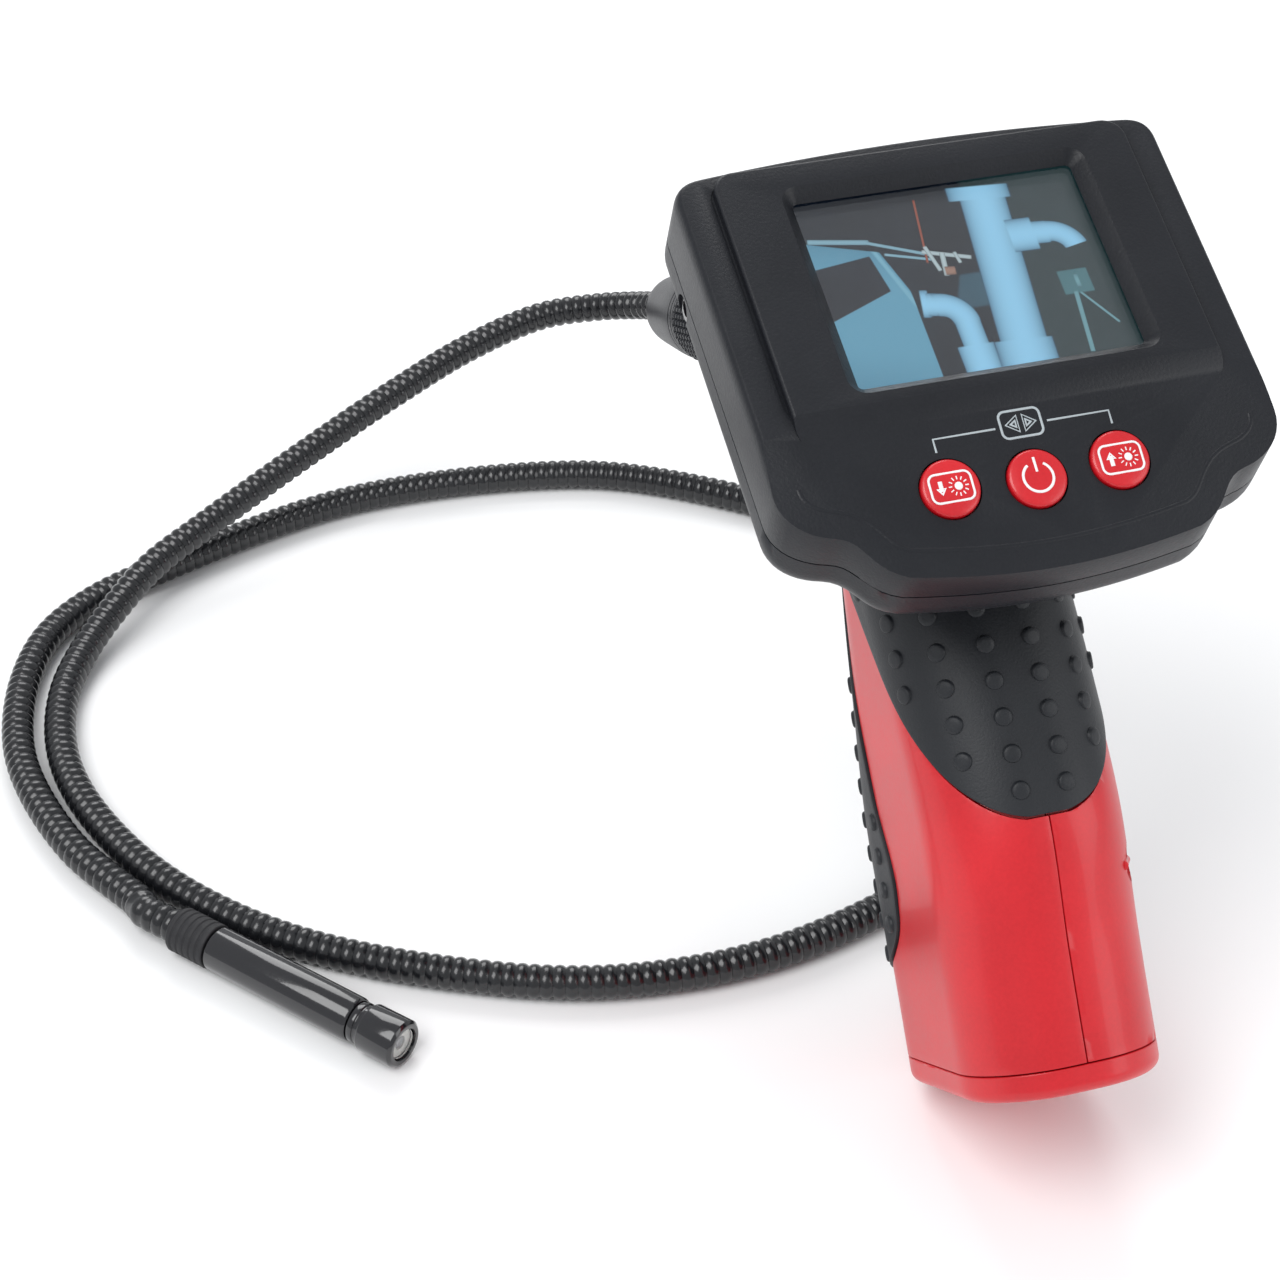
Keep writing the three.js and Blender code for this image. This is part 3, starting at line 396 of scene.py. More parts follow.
def metal(name, color, roughness, streaks=(900, 900, 60)):
    """Plated metal with fine drawn streaks."""
    finish = Finish(name, color, roughness, 1.0)
    stretched = finish.add(
        "ShaderNodeMapping", {}, Vector=finish.place, Scale=streaks
    )
    grain = finish.noise(1.0, 4, stretched)
    finish.color(finish.mix(grain, [c * 0.8 for c in color], [min(1, c * 1.15) for c in color]))
    finish.roughness(grain * 0.18 + (roughness - 0.09))
    finish.bump(grain, 0.00001)
    return finish.material


def circuit(name):
    """Green solder mask over tracks, with pads of solder."""
    finish = Finish(name, (0.02, 0.12, 0.05), 0.35)
    cells = finish.add(
        "ShaderNodeTexVoronoi", {"feature": "F1"}, Vector=finish.place, Scale=420.0
    )
    pads = cells < 0.16
    tracks = finish.noise(260, 1) > 0.55
    mask = finish.mix(tracks * 0.6, (0.014, 0.09, 0.035), (0.05, 0.22, 0.09))
    finish.color(finish.mix(pads, mask, (0.62, 0.62, 0.6)))
    finish.roughness(0.42 - pads * 0.15)
    finish.bump(tracks + pads, 0.00005)
    return finish.material


def clear_window(name):
    """Clear plastic, faintly hazed."""
    finish = Finish(name, (0.97, 0.98, 1.0), 0.03, transmission_weight=1.0, specular_ior_level=0.2)
    haze = finish.noise(40, 3)
    finish.roughness(haze * 0.05 + 0.01)
    return finish.material


def band(value, low, high, edge):
    """1 where a value lies between two limits, with soft edges."""
    finish = value.finish
    rise = finish.add("ShaderNodeMapRange", {"interpolation_type": "SMOOTHSTEP"},
                      Value=value, From_Min=low - edge, From_Max=low + edge)
    fall = finish.add("ShaderNodeMapRange", {"interpolation_type": "SMOOTHSTEP"},
                      Value=value, From_Min=high - edge, From_Max=high + edge)
    return rise * (1 - fall)


def picture(name):
    """The lit display: pale blue pipes and elbows in a dark cupboard."""
    finish = Finish(name, (0.01, 0.012, 0.015), 0.3, emission_strength=1.0)
    normal = DISPLAY.to_3x3()
    centre = DISPLAY.translation * MM
    across = finish.along(normal.col[0], centre) * 1000
    up = finish.along(normal.col[1], centre) * 1000

    def tube_shade(distance, radius):
        """How far a round tube faces the viewer at a distance from its middle."""
        share = distance / radius
        inside = band(share, -1, 1, 0.05)
        return inside, (1 - share * share).maths("MAXIMUM", 0).maths("SQRT")

    def straight(start, end, radius):
        """A pipe between two points."""
        (x, y), (ex, ey) = start, end
        length = hypot(ex - x, ey - y)
        dx, dy = (ex - x) / length, (ey - y) / length
        ahead = (across - x) * dx + (up - y) * dy
        aside = (across - x) * -dy + (up - y) * dx
        inside, shade = tube_shade(aside, radius)
        return inside * band(ahead, 0, length, 0.2), shade

    def elbow(centre_x, centre_y, reach, radius, low_turn, high_turn):
        """A bend round a centre, between two headings in radians."""
        x, y = across - centre_x, up - centre_y
        distance = (x * x + y * y).maths("SQRT")
        turn = y.maths("ARCTAN2", x)
        inside, shade = tube_shade(distance - reach, radius)
        return inside * band(turn, low_turn, high_turn, 0.02), shade

    glow = finish.noise(90, 3)

    def paint(scene, mask, dark, light, shade=0.5):
        return finish.mix(mask, scene, finish.mix(shade, dark, light))

    def lines(scene, rows, dark, light):
        for start, end, radius in rows:
            mask, shade = straight(start, end, radius)
            scene = paint(scene, mask, dark, light, shade)
        return scene

    scene = finish.mix(glow, (0.001, 0.0015, 0.003), (0.004, 0.008, 0.016))
    right_wall = band(across + up * 0.08, 7.5, 40, 0.6)
    scene = paint(scene, right_wall, (0.004, 0.014, 0.016), (0.012, 0.034, 0.036), glow)
    scene = paint(scene, band(across - up * 0.4, -1, 6, 0.4) * band(up, -5.5, 1.5, 0.4),
                  (0.012, 0.045, 0.07), (0.03, 0.1, 0.14), glow)
    hoses = (((-24.5, 12.9), (-14, 11), 0.55), ((-14.5, 11), (-4, 6.5), 0.35), ((-12, 8), (-4, 5.5), 0.3))
    scene = lines(scene, hoses, (0.03, 0.08, 0.12), (0.2, 0.38, 0.46))
    scene = lines(scene, (((-3.4, 18.4), (-5.1, 5), 0.22),), (0.05, 0.012, 0.005), (0.28, 0.06, 0.025))
    valve = (((-5.4, 7.4), (2.8, 4.8), 0.45), ((-4.6, 8.4), (-3.4, 3), 0.4), ((-2, 6.6), (-2.6, 1.8), 0.5),
             ((0.2, 6.4), (0.6, 4), 0.35))
    scene = lines(scene, valve, (0.02, 0.03, 0.035), (0.4, 0.5, 0.52))
    scene = lines(scene, (((-2.6, 2.8), (-0.8, 2.6), 0.9),), (0.04, 0.02, 0.015), (0.3, 0.17, 0.12))
    cabinet_top = band(up + across * 0.316, -60, 4.6, 0.15) * band(across + up * 0.324, -60, -10, 0.15)
    cabinet = cabinet_top * band(across, -60, -9.9, 0.15)
    scene = paint(scene, cabinet, (0.055, 0.19, 0.28), (0.1, 0.3, 0.42), band(up + across * 0.3, -24, 4, 9))
    lip = cabinet * band(across + up * 0.324, -11.2, -10.4, 0.2)
    scene = paint(scene, lip, (0.12, 0.32, 0.42), (0.2, 0.45, 0.56))
    hatch = band(across + up * 0.19, -60, -13.2, 0.15) * band(up - across * 0.12, -60, 9.9, 0.15)
    opening = hatch * band(up - across * 0.38, 5.4, 60, 0.15)
    scene = paint(scene, opening, (0.001, 0.0015, 0.004), (0.004, 0.006, 0.014), glow)
    dark_blue, pale_blue = (0.008, 0.06, 0.12), (0.25, 0.55, 0.76)
    bracket = band(across, 16.6, 22, 0.2) * band(up, -5.9, -0.9, 0.2)
    scene = paint(scene, bracket, (0.03, 0.11, 0.13), (0.06, 0.18, 0.2), glow)
    small = (((19.3, -3.3), (20, -3.3), 1.5), ((18.6, -5.5), (17.3, -18), 0.45),
             ((19.4, -5.8), (24, -13), 0.25))
    scene = lines(scene, small, (0.015, 0.06, 0.07), (0.13, 0.3, 0.34))
    for mask, shade in (
        straight((-8.9, -3.2), (-7.6, -3.4), 2.9),
        straight((-8, -3.5), (-6.3, -3.8), 2.4),
        elbow(-6.5, -8.2, 4.3, 2.4, -0.02, pi / 2 + 0.05),
        straight((-2.2, -8), (-2.2, -14), 2.3),
        straight((-2.4, -13), (-2.4, -18.4), 3.3),
        elbow(17.6, 3.2, 4.6, 2.2, 0.2, pi / 2 + 0.05),
        straight((15.4, 7.9), (18, 7.7), 2.4),
        straight((9, 17.5), (6.1, -14.5), 4.2),
        straight((11, 7.9), (15.6, 7.8), 3.5),
        straight((8.6, 19.5), (8.4, 16.6), 5.7),
        straight((6.1, -13.4), (5.8, -19), 5.2),
    ):
        scene = paint(scene, mask, dark_blue, pale_blue, shade)
    finish.feed(finish.shader.inputs["Emission Color"], scene)
    return finish.material


BLACK_PLASTIC = moulded(
    "black moulded plastic", (0.0055, 0.0065, 0.0095), 0.4, 1900, 0.00005, specular_ior_level=0.32
)
RED = (0.5, 0.003, 0.009)
RED_PLASTIC = moulded("red moulded plastic", RED, 0.38, 1500, 0.000008, 0.08, coat_weight=0.15)
RED_KEY = moulded("red key plastic", RED, 0.34, 1500, 0.00002, 0.08, coat_weight=0.2)
GRIP_RUBBER = moulded("grip rubber", (0.008, 0.0095, 0.0125), 0.5, 2200, 0.00005, specular_ior_level=0.4)
CABLE_SKIN = moulded("gooseneck skin", (0.005, 0.0055, 0.007), 0.24, 2400, 0.00001, coat_weight=0.2)
SLEEVE_RUBBER = moulded("sleeve rubber", (0.012, 0.012, 0.014), 0.6, 2600, 0.00008, specular_ior_level=0.4)
GLOSS_BLACK = moulded("gloss black shell", (0.006, 0.006, 0.008), 0.14, 1500, 0.000008, 0.05, coat_weight=0.5)
PALE_NYLON = moulded("pale nylon", (0.7, 0.68, 0.6), 0.5)
WHITE_PRINT = moulded("white print", (0.82, 0.82, 0.82), 0.45, 1500, 0.00001)
GREY_PRINT = moulded("grey print", (0.34, 0.38, 0.4), 0.45, 1500, 0.00001)
HARNESS_BLACK = moulded("harness sleeving", (0.02, 0.02, 0.02), 0.6)
STEEL = metal("screw steel", (0.56, 0.57, 0.58), 0.3)
CELL_METAL = metal("cell jacket", (0.6, 0.61, 0.62), 0.28)
BRASS = metal("contact brass", (0.66, 0.45, 0.16), 0.28)
BOARD = circuit("circuit board")
CLEAR = clear_window("clear window")
PICTURE = picture("display picture")


def dressed(piece, material, body="housing", replaces=()):
    piece.data.materials.clear()
    piece.data.materials.append(material)
    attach(piece, body)
    if replaces:
        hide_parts(*replaces)
    return piece


def placed(piece, matrix):
    """Puts a finished piece, in millimetres in its own group, where it belongs, in metres."""
    return moved(piece, Matrix.Scale(MM, 4) @ matrix)


# ---- Gooseneck ----
BARREL_END = 136
NUT_LENGTH, CONNECTOR_LENGTH = 25, 30
CABLE_RADIUS = 3.5
RIB_PITCH = 2.5
LIE = CABLE_RADIUS + 0.1
CONNECTOR_END = BARREL_END + GAP + NUT_LENGTH + GAP + CONNECTOR_LENGTH
CAMERA_HEADING = Vector((0.637, -0.77, 0)).normalized()
CAMERA_TIP = Vector((-107.2, -33.1, 4.95))
CAMERA_LENGTH = 57
ROUTE = [
    (-3.5, 159.5, 39.8), (-12.5, 167.8, 36), (-26, 171, 33.8), (-45, 166.5, 31), (-66, 157, 27.5),
    (-92.7, 144.5, 21.5), (-118.1, 133.6, 14), (-131.1, 126, 11.2), (-140.6, 117.6, 8.2),
    (-149.6, 107.6, 5), (-156.2, 94.8, LIE), (-159.3, 76.4, LIE), (-157.5, 58.8, LIE),
    (-149.4, 36.4, LIE), (-138.3, 18.8, LIE), (-121, 1.3, LIE), (-94.2, -15.3, LIE),
    (-66.4, -26.1, LIE), (-36.2, -28.6, LIE), (-5.9, -22, LIE), (24, -8, LIE), (46, 15, LIE),
    (55, 44, LIE), (50, 76, LIE), (34, 102, LIE), (-7.7, 137.1, LIE), (-30.8, 146.3, LIE),
    (-80.4, 149.5, LIE), (-129.1, 134.4, LIE), (-146.2, 126.3, LIE), (-157.3, 115.9, LIE),
    (-164.4, 100.7, LIE), (-168.1, 81, LIE), (-167.2, 64.9, LIE), (-160.7, 41.6, LIE),
    (-150.2, 21.6, LIE + 0.6),
]


def smooth_route(points, spacing):
    """Evenly spaced points on a smooth curve through the given ones."""
    ends = [2 * points[0] - points[1], *points, 2 * points[-1] - points[-2]]
    dense = []
    for before, start, end, after in zip(ends, ends[1:], ends[2:], ends[3:]):
        first, middle, last = (
            sqrt((b - a).length) for a, b in ((before, start), (start, end), (end, after))
        )
        leave = (start - before) / first - (end - before) / (first + middle) + (end - start) / middle
        arrive = (end - start) / middle - (after - start) / (middle + last) + (after - end) / last
        leave, arrive = leave * middle, arrive * middle
        for step in range(40):
            t = step / 40
            dense.append(
                start * (2 * t**3 - 3 * t**2 + 1) + leave * (t**3 - 2 * t**2 + t)
                + end * (3 * t**2 - 2 * t**3) + arrive * (t**3 - t**2)
            )
    dense.append(points[-1])
    total = sum((b - a).length for a, b in zip(dense, dense[1:]))
    count = round(total / spacing)
    even, travelled, target = [dense[0]], 0.0, total / count
    for a, b in zip(dense, dense[1:]):
        length = (b - a).length
        while travelled + length >= target - 1e-6 and len(even) < count:
            even.append(a.lerp(b, (target - travelled) / length))
            target += total / count
        travelled += length
    even.append(points[-1])
    return even, total


def ribbed_tube(name, path, radius_at, sides):
    """A tube whose radius changes from ring to ring."""
    tangent = (path[1] - path[0]).normalized()
    side = tangent.cross(Vector((0, 0, 1))).normalized()
    vertices, faces = [], []
    for k, centre in enumerate(path):
        ahead = (path[min(k + 1, len(path) - 1)] - path[max(k - 1, 0)]).normalized()
        side = (side - ahead * side.dot(ahead)).normalized()
        other = ahead.cross(side)
        for i in range(sides):
            turn = 2 * pi * i / sides
            vertices.append(centre + (side * cos(turn) + other * sin(turn)) * radius_at(k))
    for k in range(len(path) - 1):
        for i in range(sides):
            j = (i + 1) % sides
            faces.append((k * sides + i, k * sides + j, (k + 1) * sides + j, (k + 1) * sides + i))
    faces.append(tuple(reversed(range(sides))))
    faces.append(tuple((len(path) - 1) * sides + i for i in range(sides)))
    mesh = bpy.data.meshes.new(name)
    mesh.from_pydata([tuple(v) for v in vertices], [], faces)
    piece = bpy.data.objects.new(name, mesh)
    bpy.context.collection.objects.link(piece)
    return piece


def make_gooseneck():
    start = BARREL @ Vector((0, 0, CONNECTOR_END + GAP))
    straight = BARREL @ Vector((0, 0, CONNECTOR_END + GAP + 8))
    end = CAMERA_TIP - CAMERA_HEADING * (CAMERA_LENGTH + GAP)
    before_end = end - CAMERA_HEADING * 9
    points = [start, straight, *(Vector(point) for point in ROUTE), before_end, end]
    rings = 4
    path, length = smooth_route(points, RIB_PITCH / rings)
    rib = (CABLE_RADIUS - 0.5, CABLE_RADIUS - 0.1, CABLE_RADIUS, CABLE_RADIUS - 0.1)
    piece = ribbed_tube("gooseneck_ribbed", path, lambda k: rib[k % rings], 20)
    placed(piece, Matrix())
    smoothed(piece, 60)
    dressed(piece, CABLE_SKIN, "probe", ["gooseneck"])
    return piece, [point * MM for point in path], length * MM, start * MM


gooseneck, gooseneck_path, gooseneck_length, gooseneck_exit = make_gooseneck()

# ---- Camera head on the gooseneck's end ----
CAMERA_RADIUS = 4.9
CAMERA_HEAD = Matrix.Translation(CAMERA_TIP - CAMERA_HEADING * CAMERA_LENGTH) @ (
    Vector((0, 0, 1)).rotation_difference(CAMERA_HEADING).to_matrix().to_4x4()
)


def camera_piece(name, profile, material, node, ring=False, width=0.15):
    piece = softened(lathe(name, profile, 72, ring), width, 2)
    placed(piece, CAMERA_HEAD)
    return dressed(piece, material, "probe", [node])


def make_camera_head():
    r = CAMERA_RADIUS
    sleeve = [(r - 1.2, 0), (r - 0.5, 0), (r - 0.2, 0.5)]
    for i in range(5):
        groove = i * 1.6
        sleeve += [(r - 0.2, 1.2 + groove), (r - 0.4, 1.4 + groove)]
        sleeve += [(r - 0.4, 1.7 + groove), (r - 0.2, 1.9 + groove)]
    sleeve += [(r - 0.2, 9.3), (r - 0.4, 9.5)]
    tube_start, tube_end = 9.8, 45.5
    tube = [
        (r - 0.7, tube_start), (r - 0.35, tube_start + 0.3), (r - 0.35, tube_end - 0.7), (r - 0.6, tube_end),
        (r - 1.2, tube_end), (r - 1.2, tube_start + 2), (0.3, tube_start + 2), (0.3, tube_start),
    ]
    tip_start = 45.8
    neck = r - 0.7
    shoulder, front = tip_start + 2.7, CAMERA_LENGTH - 2.4
    tip = [
        (2.9, tip_start), (neck, tip_start), (neck, tip_start + 1.2), (neck - 0.25, tip_start + 1.3),
        (neck - 0.25, tip_start + 1.7), (neck, tip_start + 1.8), (neck, shoulder), (r - 0.1, shoulder),
        (r, tip_start + 3), (r, CAMERA_LENGTH - 0.6), (r - 0.6, CAMERA_LENGTH), (3.4, CAMERA_LENGTH),
        (3.4, front), (2.9, front),
    ]
    camera_piece("camera_sleeve_grooved", sleeve, SLEEVE_RUBBER, "camera_sleeve", width=0.06)
    camera_piece("camera_tube_gloss", tube, GLOSS_BLACK, "camera_tube", True)
    camera_piece("camera_tip_stepped", tip, GLOSS_BLACK, "camera_tip", True, 0.1)


make_camera_head()
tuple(gooseneck_exit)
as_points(gooseneck_path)

# ---- Head ----
HEAD_HALF_WIDTH, HEAD_TOP, CORNER_TOP, HEAD_CORNER = 44.6, 30, 28.2, 5.5
SHOULDER, LOBE = -44.6, -55.6
PARTING, HEAD_BACK, PANEL_FACE = -11, -19.3, 2.6
PANEL_WIDTH, PANEL_TOP, PANEL_BOTTOM, PANEL_CORNER = 76, 26.8, -23.6, 4
BAND_TOP, BAND_SLOPE = -23.8, radians(27)
HEAD_WALL = 2.2
WINDOW = (51.36, 39.12)
KEY_RADIUS = 5.1
KEYS = {"key_dim": (-15, -13.8), "key_power": (0, -14.6), "key_bright": (15, -13.8)}
SCREWS = ((-36.5, 21), (36.5, 21), (-37, -31), (37, -31))


def bezier(points, steps=10):
    """Points on a curve with one or two handles, without its last."""
    points = [Vector(point) for point in points]
    result = []
    for step in range(steps):
        share, row = step / steps, points
        while len(row) > 1:
            row = [a.lerp(b, share) for a, b in zip(row, row[1:])]
        result.append(row[0])
    return result


def head_outline():
    """The head's outline, from the middle of its top down its left side and round."""
    w, corner = HEAD_HALF_WIDTH, HEAD_CORNER
    left = (
        bezier([(0, HEAD_TOP), (-(w - corner) / 2, HEAD_TOP), (-(w - corner), CORNER_TOP)], 14)
        + bezier([(-(w - corner), CORNER_TOP), (-w, CORNER_TOP - 0.4), (-w, CORNER_TOP - corner)])
        + bezier([(-w, CORNER_TOP - corner), (-w, SHOULDER + 9)], 6)
        + bezier([(-w, SHOULDER + 9), (-w, SHOULDER + 4), (-w + 4, SHOULDER + 1), (-w + 8.5, SHOULDER)])
        + bezier([
            (-w + 8.5, SHOULDER), (-w + 13.5, SHOULDER - 1.2), (-w + 12.5, LOBE + 5), (-w + 19, LOBE + 2.6)
        ])
        + bezier([(-w + 19, LOBE + 2.6), (-12, LOBE), (0, LOBE)], 12)
    )
    right = [Vector((-point.x, point.y)) for point in reversed(left[1:])]
    return left + [Vector((0, LOBE))] + right


def key_panel_cutter(name, depth):
    """All that lies above the key panel's face, lowered by a depth."""
    block = box(name, (-70, -70, -depth), (70, 0, 40))
    return moved(block, KEYPAD_SEAT)


def panel_slope_cutter():
    """All that lies above the band between the display panel and the key panel."""
    block = box("band", (-70, -70, 0), (70, 0, 40))
    return moved(block, turned_frame(0, BAND_TOP, PANEL_FACE, BAND_SLOPE))


def make_head_front():
    outline = head_outline()
    body = slab("head_front_shell", outline, [(PARTING, 0), *rounded_edge(RIM, 3, 1.3, 8)])
    panel_height = PANEL_TOP - PANEL_BOTTOM
    middle = (PANEL_TOP + PANEL_BOTTOM) / 2
    panel_outline = rounded_rectangle(PANEL_WIDTH, panel_height + 6, PANEL_CORNER, (0, middle - 3))
    panel = slab("panel", panel_outline, [(-2.5, 0), (RIM + 0.15, 0), *rounded_edge(PANEL_FACE, 0.6, 0.6)])
    combine(panel, [panel_slope_cutter()])
    cavity = slab("cavity", outline, [(PARTING - 1, HEAD_WALL), (-2, HEAD_WALL)])
    combine(cavity, [key_panel_cutter("cavity_top", HEAD_WALL)])
    window_outline = rounded_rectangle(*WINDOW, 1.0, (DISPLAY_OFFSET, 0))
    flare = -2.4
    opening = slab(
        "opening", window_outline, [(-6, 0), (0.35, 0), (PANEL_FACE + 0.15, flare), (PANEL_FACE + 2, flare)]
    )
    seat_outline = rounded_rectangle(WINDOW[0] + 3.2, WINDOW[1] + 3.2, 1.0, (DISPLAY_OFFSET, 0))
    seat = slab("seat", seat_outline, [(-6, 0), (0.28, 0)])
    holes = [
        moved(lathe("hole", [(KEY_RADIUS + GAP, -9), (KEY_RADIUS + GAP, 6)]),
              turned_frame(x, CREASE, RIM, KEY_PANEL_TILT) @ Matrix.Translation((0, y, 0)))
        for x, y in KEYS.values()
    ]
    grow = 1.2
    groove_outline = rounded_rectangle(
        PANEL_WIDTH + grow, panel_height + grow, PANEL_CORNER + grow / 2, (0, middle - 1)
    )
    groove = slab("groove", groove_outline, [(RIM - 0.3, 0), (RIM + 1, 0)])
    combine(body, [groove, key_panel_cutter("slope", 0)])
    combine(body, [panel], "UNION")
    combine(body, [cavity, opening, seat, *holes])
    softened(body, 0.3, 3, 20)
    placed(body, HEAD)
    dressed(body, BLACK_PLASTIC, "housing", ["head_front"])


def make_key_panel_lines():
    """The raised bead along the key panel's edge, and the printed flip sign over the keys."""
    outline = head_outline()
    inset = 4.6
    count = len(outline)
    bead = []
    for i in range(count):
        along = (outline[(i + 1) % count] - outline[i - 1]).normalized()
        point = outline[i] + Vector((-along.y, along.x)) * inset
        down = (point.y - CREASE) / cos(KEY_PANEL_TILT)
        if down < -2.5:
            bead.append((point.x, down))
    bead_piece = placed(stroke("key_panel_bead", bead, 0.9, lift=-0.05), KEYPAD)
    smoothed(bead_piece, 60)
    dressed(bead_piece, BLACK_PLASTIC, "housing")
    sign = [stroke("sign", rounded_rectangle(7.2, 4.8, 1.1, (0, -4.6)), 0.45, True)]
    for side in (-1, 1):
        sign.append(stroke("bracket", [(side * 4.6, -4.9), (side * 15.6, -4.9), (side * 15.6, -7.3)], 0.4))
        head = [(side * 0.5, -3.1), (side * 0.5, -6.1), (side * 2.7, -4.6)]
        sign.append(stroke("head", head, 0.4, True))
        sign.append(stroke("fill", [(side * 0.9, -4), (side * 0.9, -5.2), (side * 1.8, -4.6)], 0.6, True))
    sign_piece = placed(moved(joined("flip_sign", sign), Matrix.Translation((0, 0, 0.04))), KEYPAD)
    dressed(sign_piece, GREY_PRINT, "housing")


def make_keys():
    depth, proud = 3.4, 0.8
    profile = [
        (KEY_RADIUS + 1, -depth), (KEY_RADIUS + 1, -2.5), (KEY_RADIUS, -2.5), (KEY_RADIUS, proud - 0.7),
        (KEY_RADIUS - 0.06, proud - 0.4), (KEY_RADIUS - 0.25, proud - 0.15), (KEY_RADIUS - 0.6, proud),
        (KEY_RADIUS * 0.5, proud + 0.17), (KEY_RADIUS * 0.2, proud + 0.22),
    ]
    print_lift = proud + 0.2
    power = [
        stroke("ring", circle_points(2.6, 122, 418, 40), 0.5), stroke("bar", [(0, 0.9), (0, 3.5)], 0.5)
    ]

    def brightness(side):
        """A boxed sun with an arrow beside it, which points up for 1 and down for -1."""
        marks = [stroke("frame", rounded_rectangle(7.3, 5, 1.2), 0.42, True)]
        arrow_x, sun_x = -1.8, 1.2
        tip, shoulder, tail = 1.04 * side, 0.1 * side, -1.2 * side
        marks.append(stroke("shaft", [(arrow_x, tail), (arrow_x, 0.6 * side)], 0.8))
        arrow_head = [(arrow_x - 0.7, shoulder), (arrow_x, tip), (arrow_x + 0.7, shoulder)]
        marks.append(stroke("head", arrow_head, 0.5, True))
        marks.append(stroke("sun", circle_points(0.35, count=12, centre=(sun_x, 0))[:-1], 0.8, True))
        for turn in range(0, 360, 30):
            direction = Vector((cos(radians(turn)), sin(radians(turn))))
            near, far = direction * 1.15, direction * 1.75
            marks.append(stroke("ray", [(sun_x + near.x, near.y), (sun_x + far.x, far.y)], 0.24))
        return marks

    symbols = {
        "key_dim": lambda: brightness(-1), "key_power": lambda: power, "key_bright": lambda: brightness(1)
    }
    for name, (x, y) in KEYS.items():
        place = KEYPAD @ Matrix.Translation((x, y, 0))
        cap = smoothed(lathe(f"{name}_cap", profile, 72), 40)
        dressed(placed(cap, place), RED_KEY, name, [name])
        symbol = moved(joined(f"{name}_symbol", symbols[name]()), Matrix.Translation((0, 0, print_lift)))
        for vertex in symbol.data.vertices:
            vertex.co.z -= 0.05 * (vertex.co.xy.length / 3) ** 2
        dressed(placed(symbol, place), WHITE_PRINT, name)


# ---- Handle ----
HALF_WIDTH, CORNER, HANDLE_TOP, CAP_HEIGHT = 18.4, 16, 100, 5
FRONT_PROFILE = ((0, 28), (25, 29), (48, 31), (70, 27.8), (100, 21.5), (125, 17))
REAR_PROFILE = ((0, 29.5), (30, 28.6), (50, 28), (75, 22), (100, 16.5), (125, 13))
GRIP_DEPTH, GRIP_PROUD, RECESS_GAP = 1.2, 0.5, 0.5
FRONT_GRIP = {"tip": 49, "top": 99.5, "half_width": 36, "power": 2.2}
REAR_GRIP = ((18, 8), (22, 21), (28, 31), (36, 35), (55, 30.5), (79, 23), (97, 19))


def profile_value(profile, z):
    """A smooth curve through (height, value) points."""
    z = min(max(z, profile[0][0]), profile[-1][0])
    k = next(i for i in range(len(profile) - 1) if z <= profile[i + 1][0])

    def slope(i):
        if i in (0, len(profile) - 1):
            a, b = (0, 1) if i == 0 else (-2, -1)
            return (profile[b][1] - profile[a][1]) / (profile[b][0] - profile[a][0])
        before, here, after = profile[i - 1], profile[i], profile[i + 1]
        left = (here[1] - before[1]) / (here[0] - before[0])
        right = (after[1] - here[1]) / (after[0] - here[0])
        share = (here[0] - before[0]) / (after[0] - before[0])
        return left * (1 - share) + right * share

    (start, low), (end, high) = profile[k], profile[k + 1]
    span = end - start
    t = (z - start) / span
    return (
        low * (2 * t**3 - 3 * t**2 + 1) + slope(k) * span * (t**3 - 2 * t**2 + t)
        + high * (3 * t**2 - 2 * t**3) + slope(k + 1) * span * (t**3 - t**2)
    )


def handle_depths(z):
    """Middle and half depth of the handle's section."""
    front, rear = -profile_value(FRONT_PROFILE, z), profile_value(REAR_PROFILE, z)
    return (front + rear) / 2, (rear - front) / 2


def half_perimeter(z):
    return 2 * (HALF_WIDTH + handle_depths(z)[1]) - (4 - pi) * CORNER


def handle_point(s, z, outwards):
    """The point at a distance s round the section from its front middle, moved outwards."""
    middle, half_depth = handle_depths(z)
    whole = 2 * half_perimeter(z)
    wrapped = s - whole * round(s / whole)
    flat, arc, side = HALF_WIDTH - CORNER, CORNER * pi / 2, 2 * (half_depth - CORNER)
    run = abs(wrapped)

    def clamp(value, high):
        return max(0, min(value, high))

    turn = clamp((run - flat) / CORNER, pi / 2) + clamp((run - flat - arc - side) / CORNER, pi / 2)
    x = min(run, flat) - max(run - flat - 2 * arc - side, 0) + (CORNER + outwards) * sin(turn)
    y = -half_depth + CORNER + clamp(run - flat - arc, side) - (CORNER + outwards) * cos(turn)
    return Vector((x if wrapped >= 0 else -x, middle + y, z))


def handle_form(name, outwards, bottom, top, levels=40, sides=120):
    """The handle's form between two heights. outwards(z) grows or shrinks it."""

    def place(i, k):
        z = bottom + (top - bottom) * k / (levels - 1)
        share = i / sides if i <= sides / 2 else i / sides - 1
        return handle_point(2 * share * half_perimeter(z), z, outwards(z))

    return column(name, sides, levels, place)


def front_grip_row(v, grow):
    share = 0.1 + 0.9 * v
    height = FRONT_GRIP["top"] - FRONT_GRIP["tip"]
    z = FRONT_GRIP["tip"] + height * share ** FRONT_GRIP["power"] + grow * (2 * v - 1)
    return z, FRONT_GRIP["half_width"] * share + grow


def rear_grip_row(v, grow):
    bottom, top = REAR_GRIP[0][0], REAR_GRIP[-1][0]
    z = bottom + (top - bottom) * v**1.6
    return z + grow * (2 * v - 1), profile_value(REAR_GRIP, z) + grow


def grip_form(name, row, rear, grow, inner, outer):
    def place(u, v, is_outer):
        z, half_width = row(v, grow)
        start = half_perimeter(z) if rear else 0
        return handle_point(start + (2 * u - 1) * half_width, z, outer if is_outer else inner)

    return patch(name, 56, 48, place)


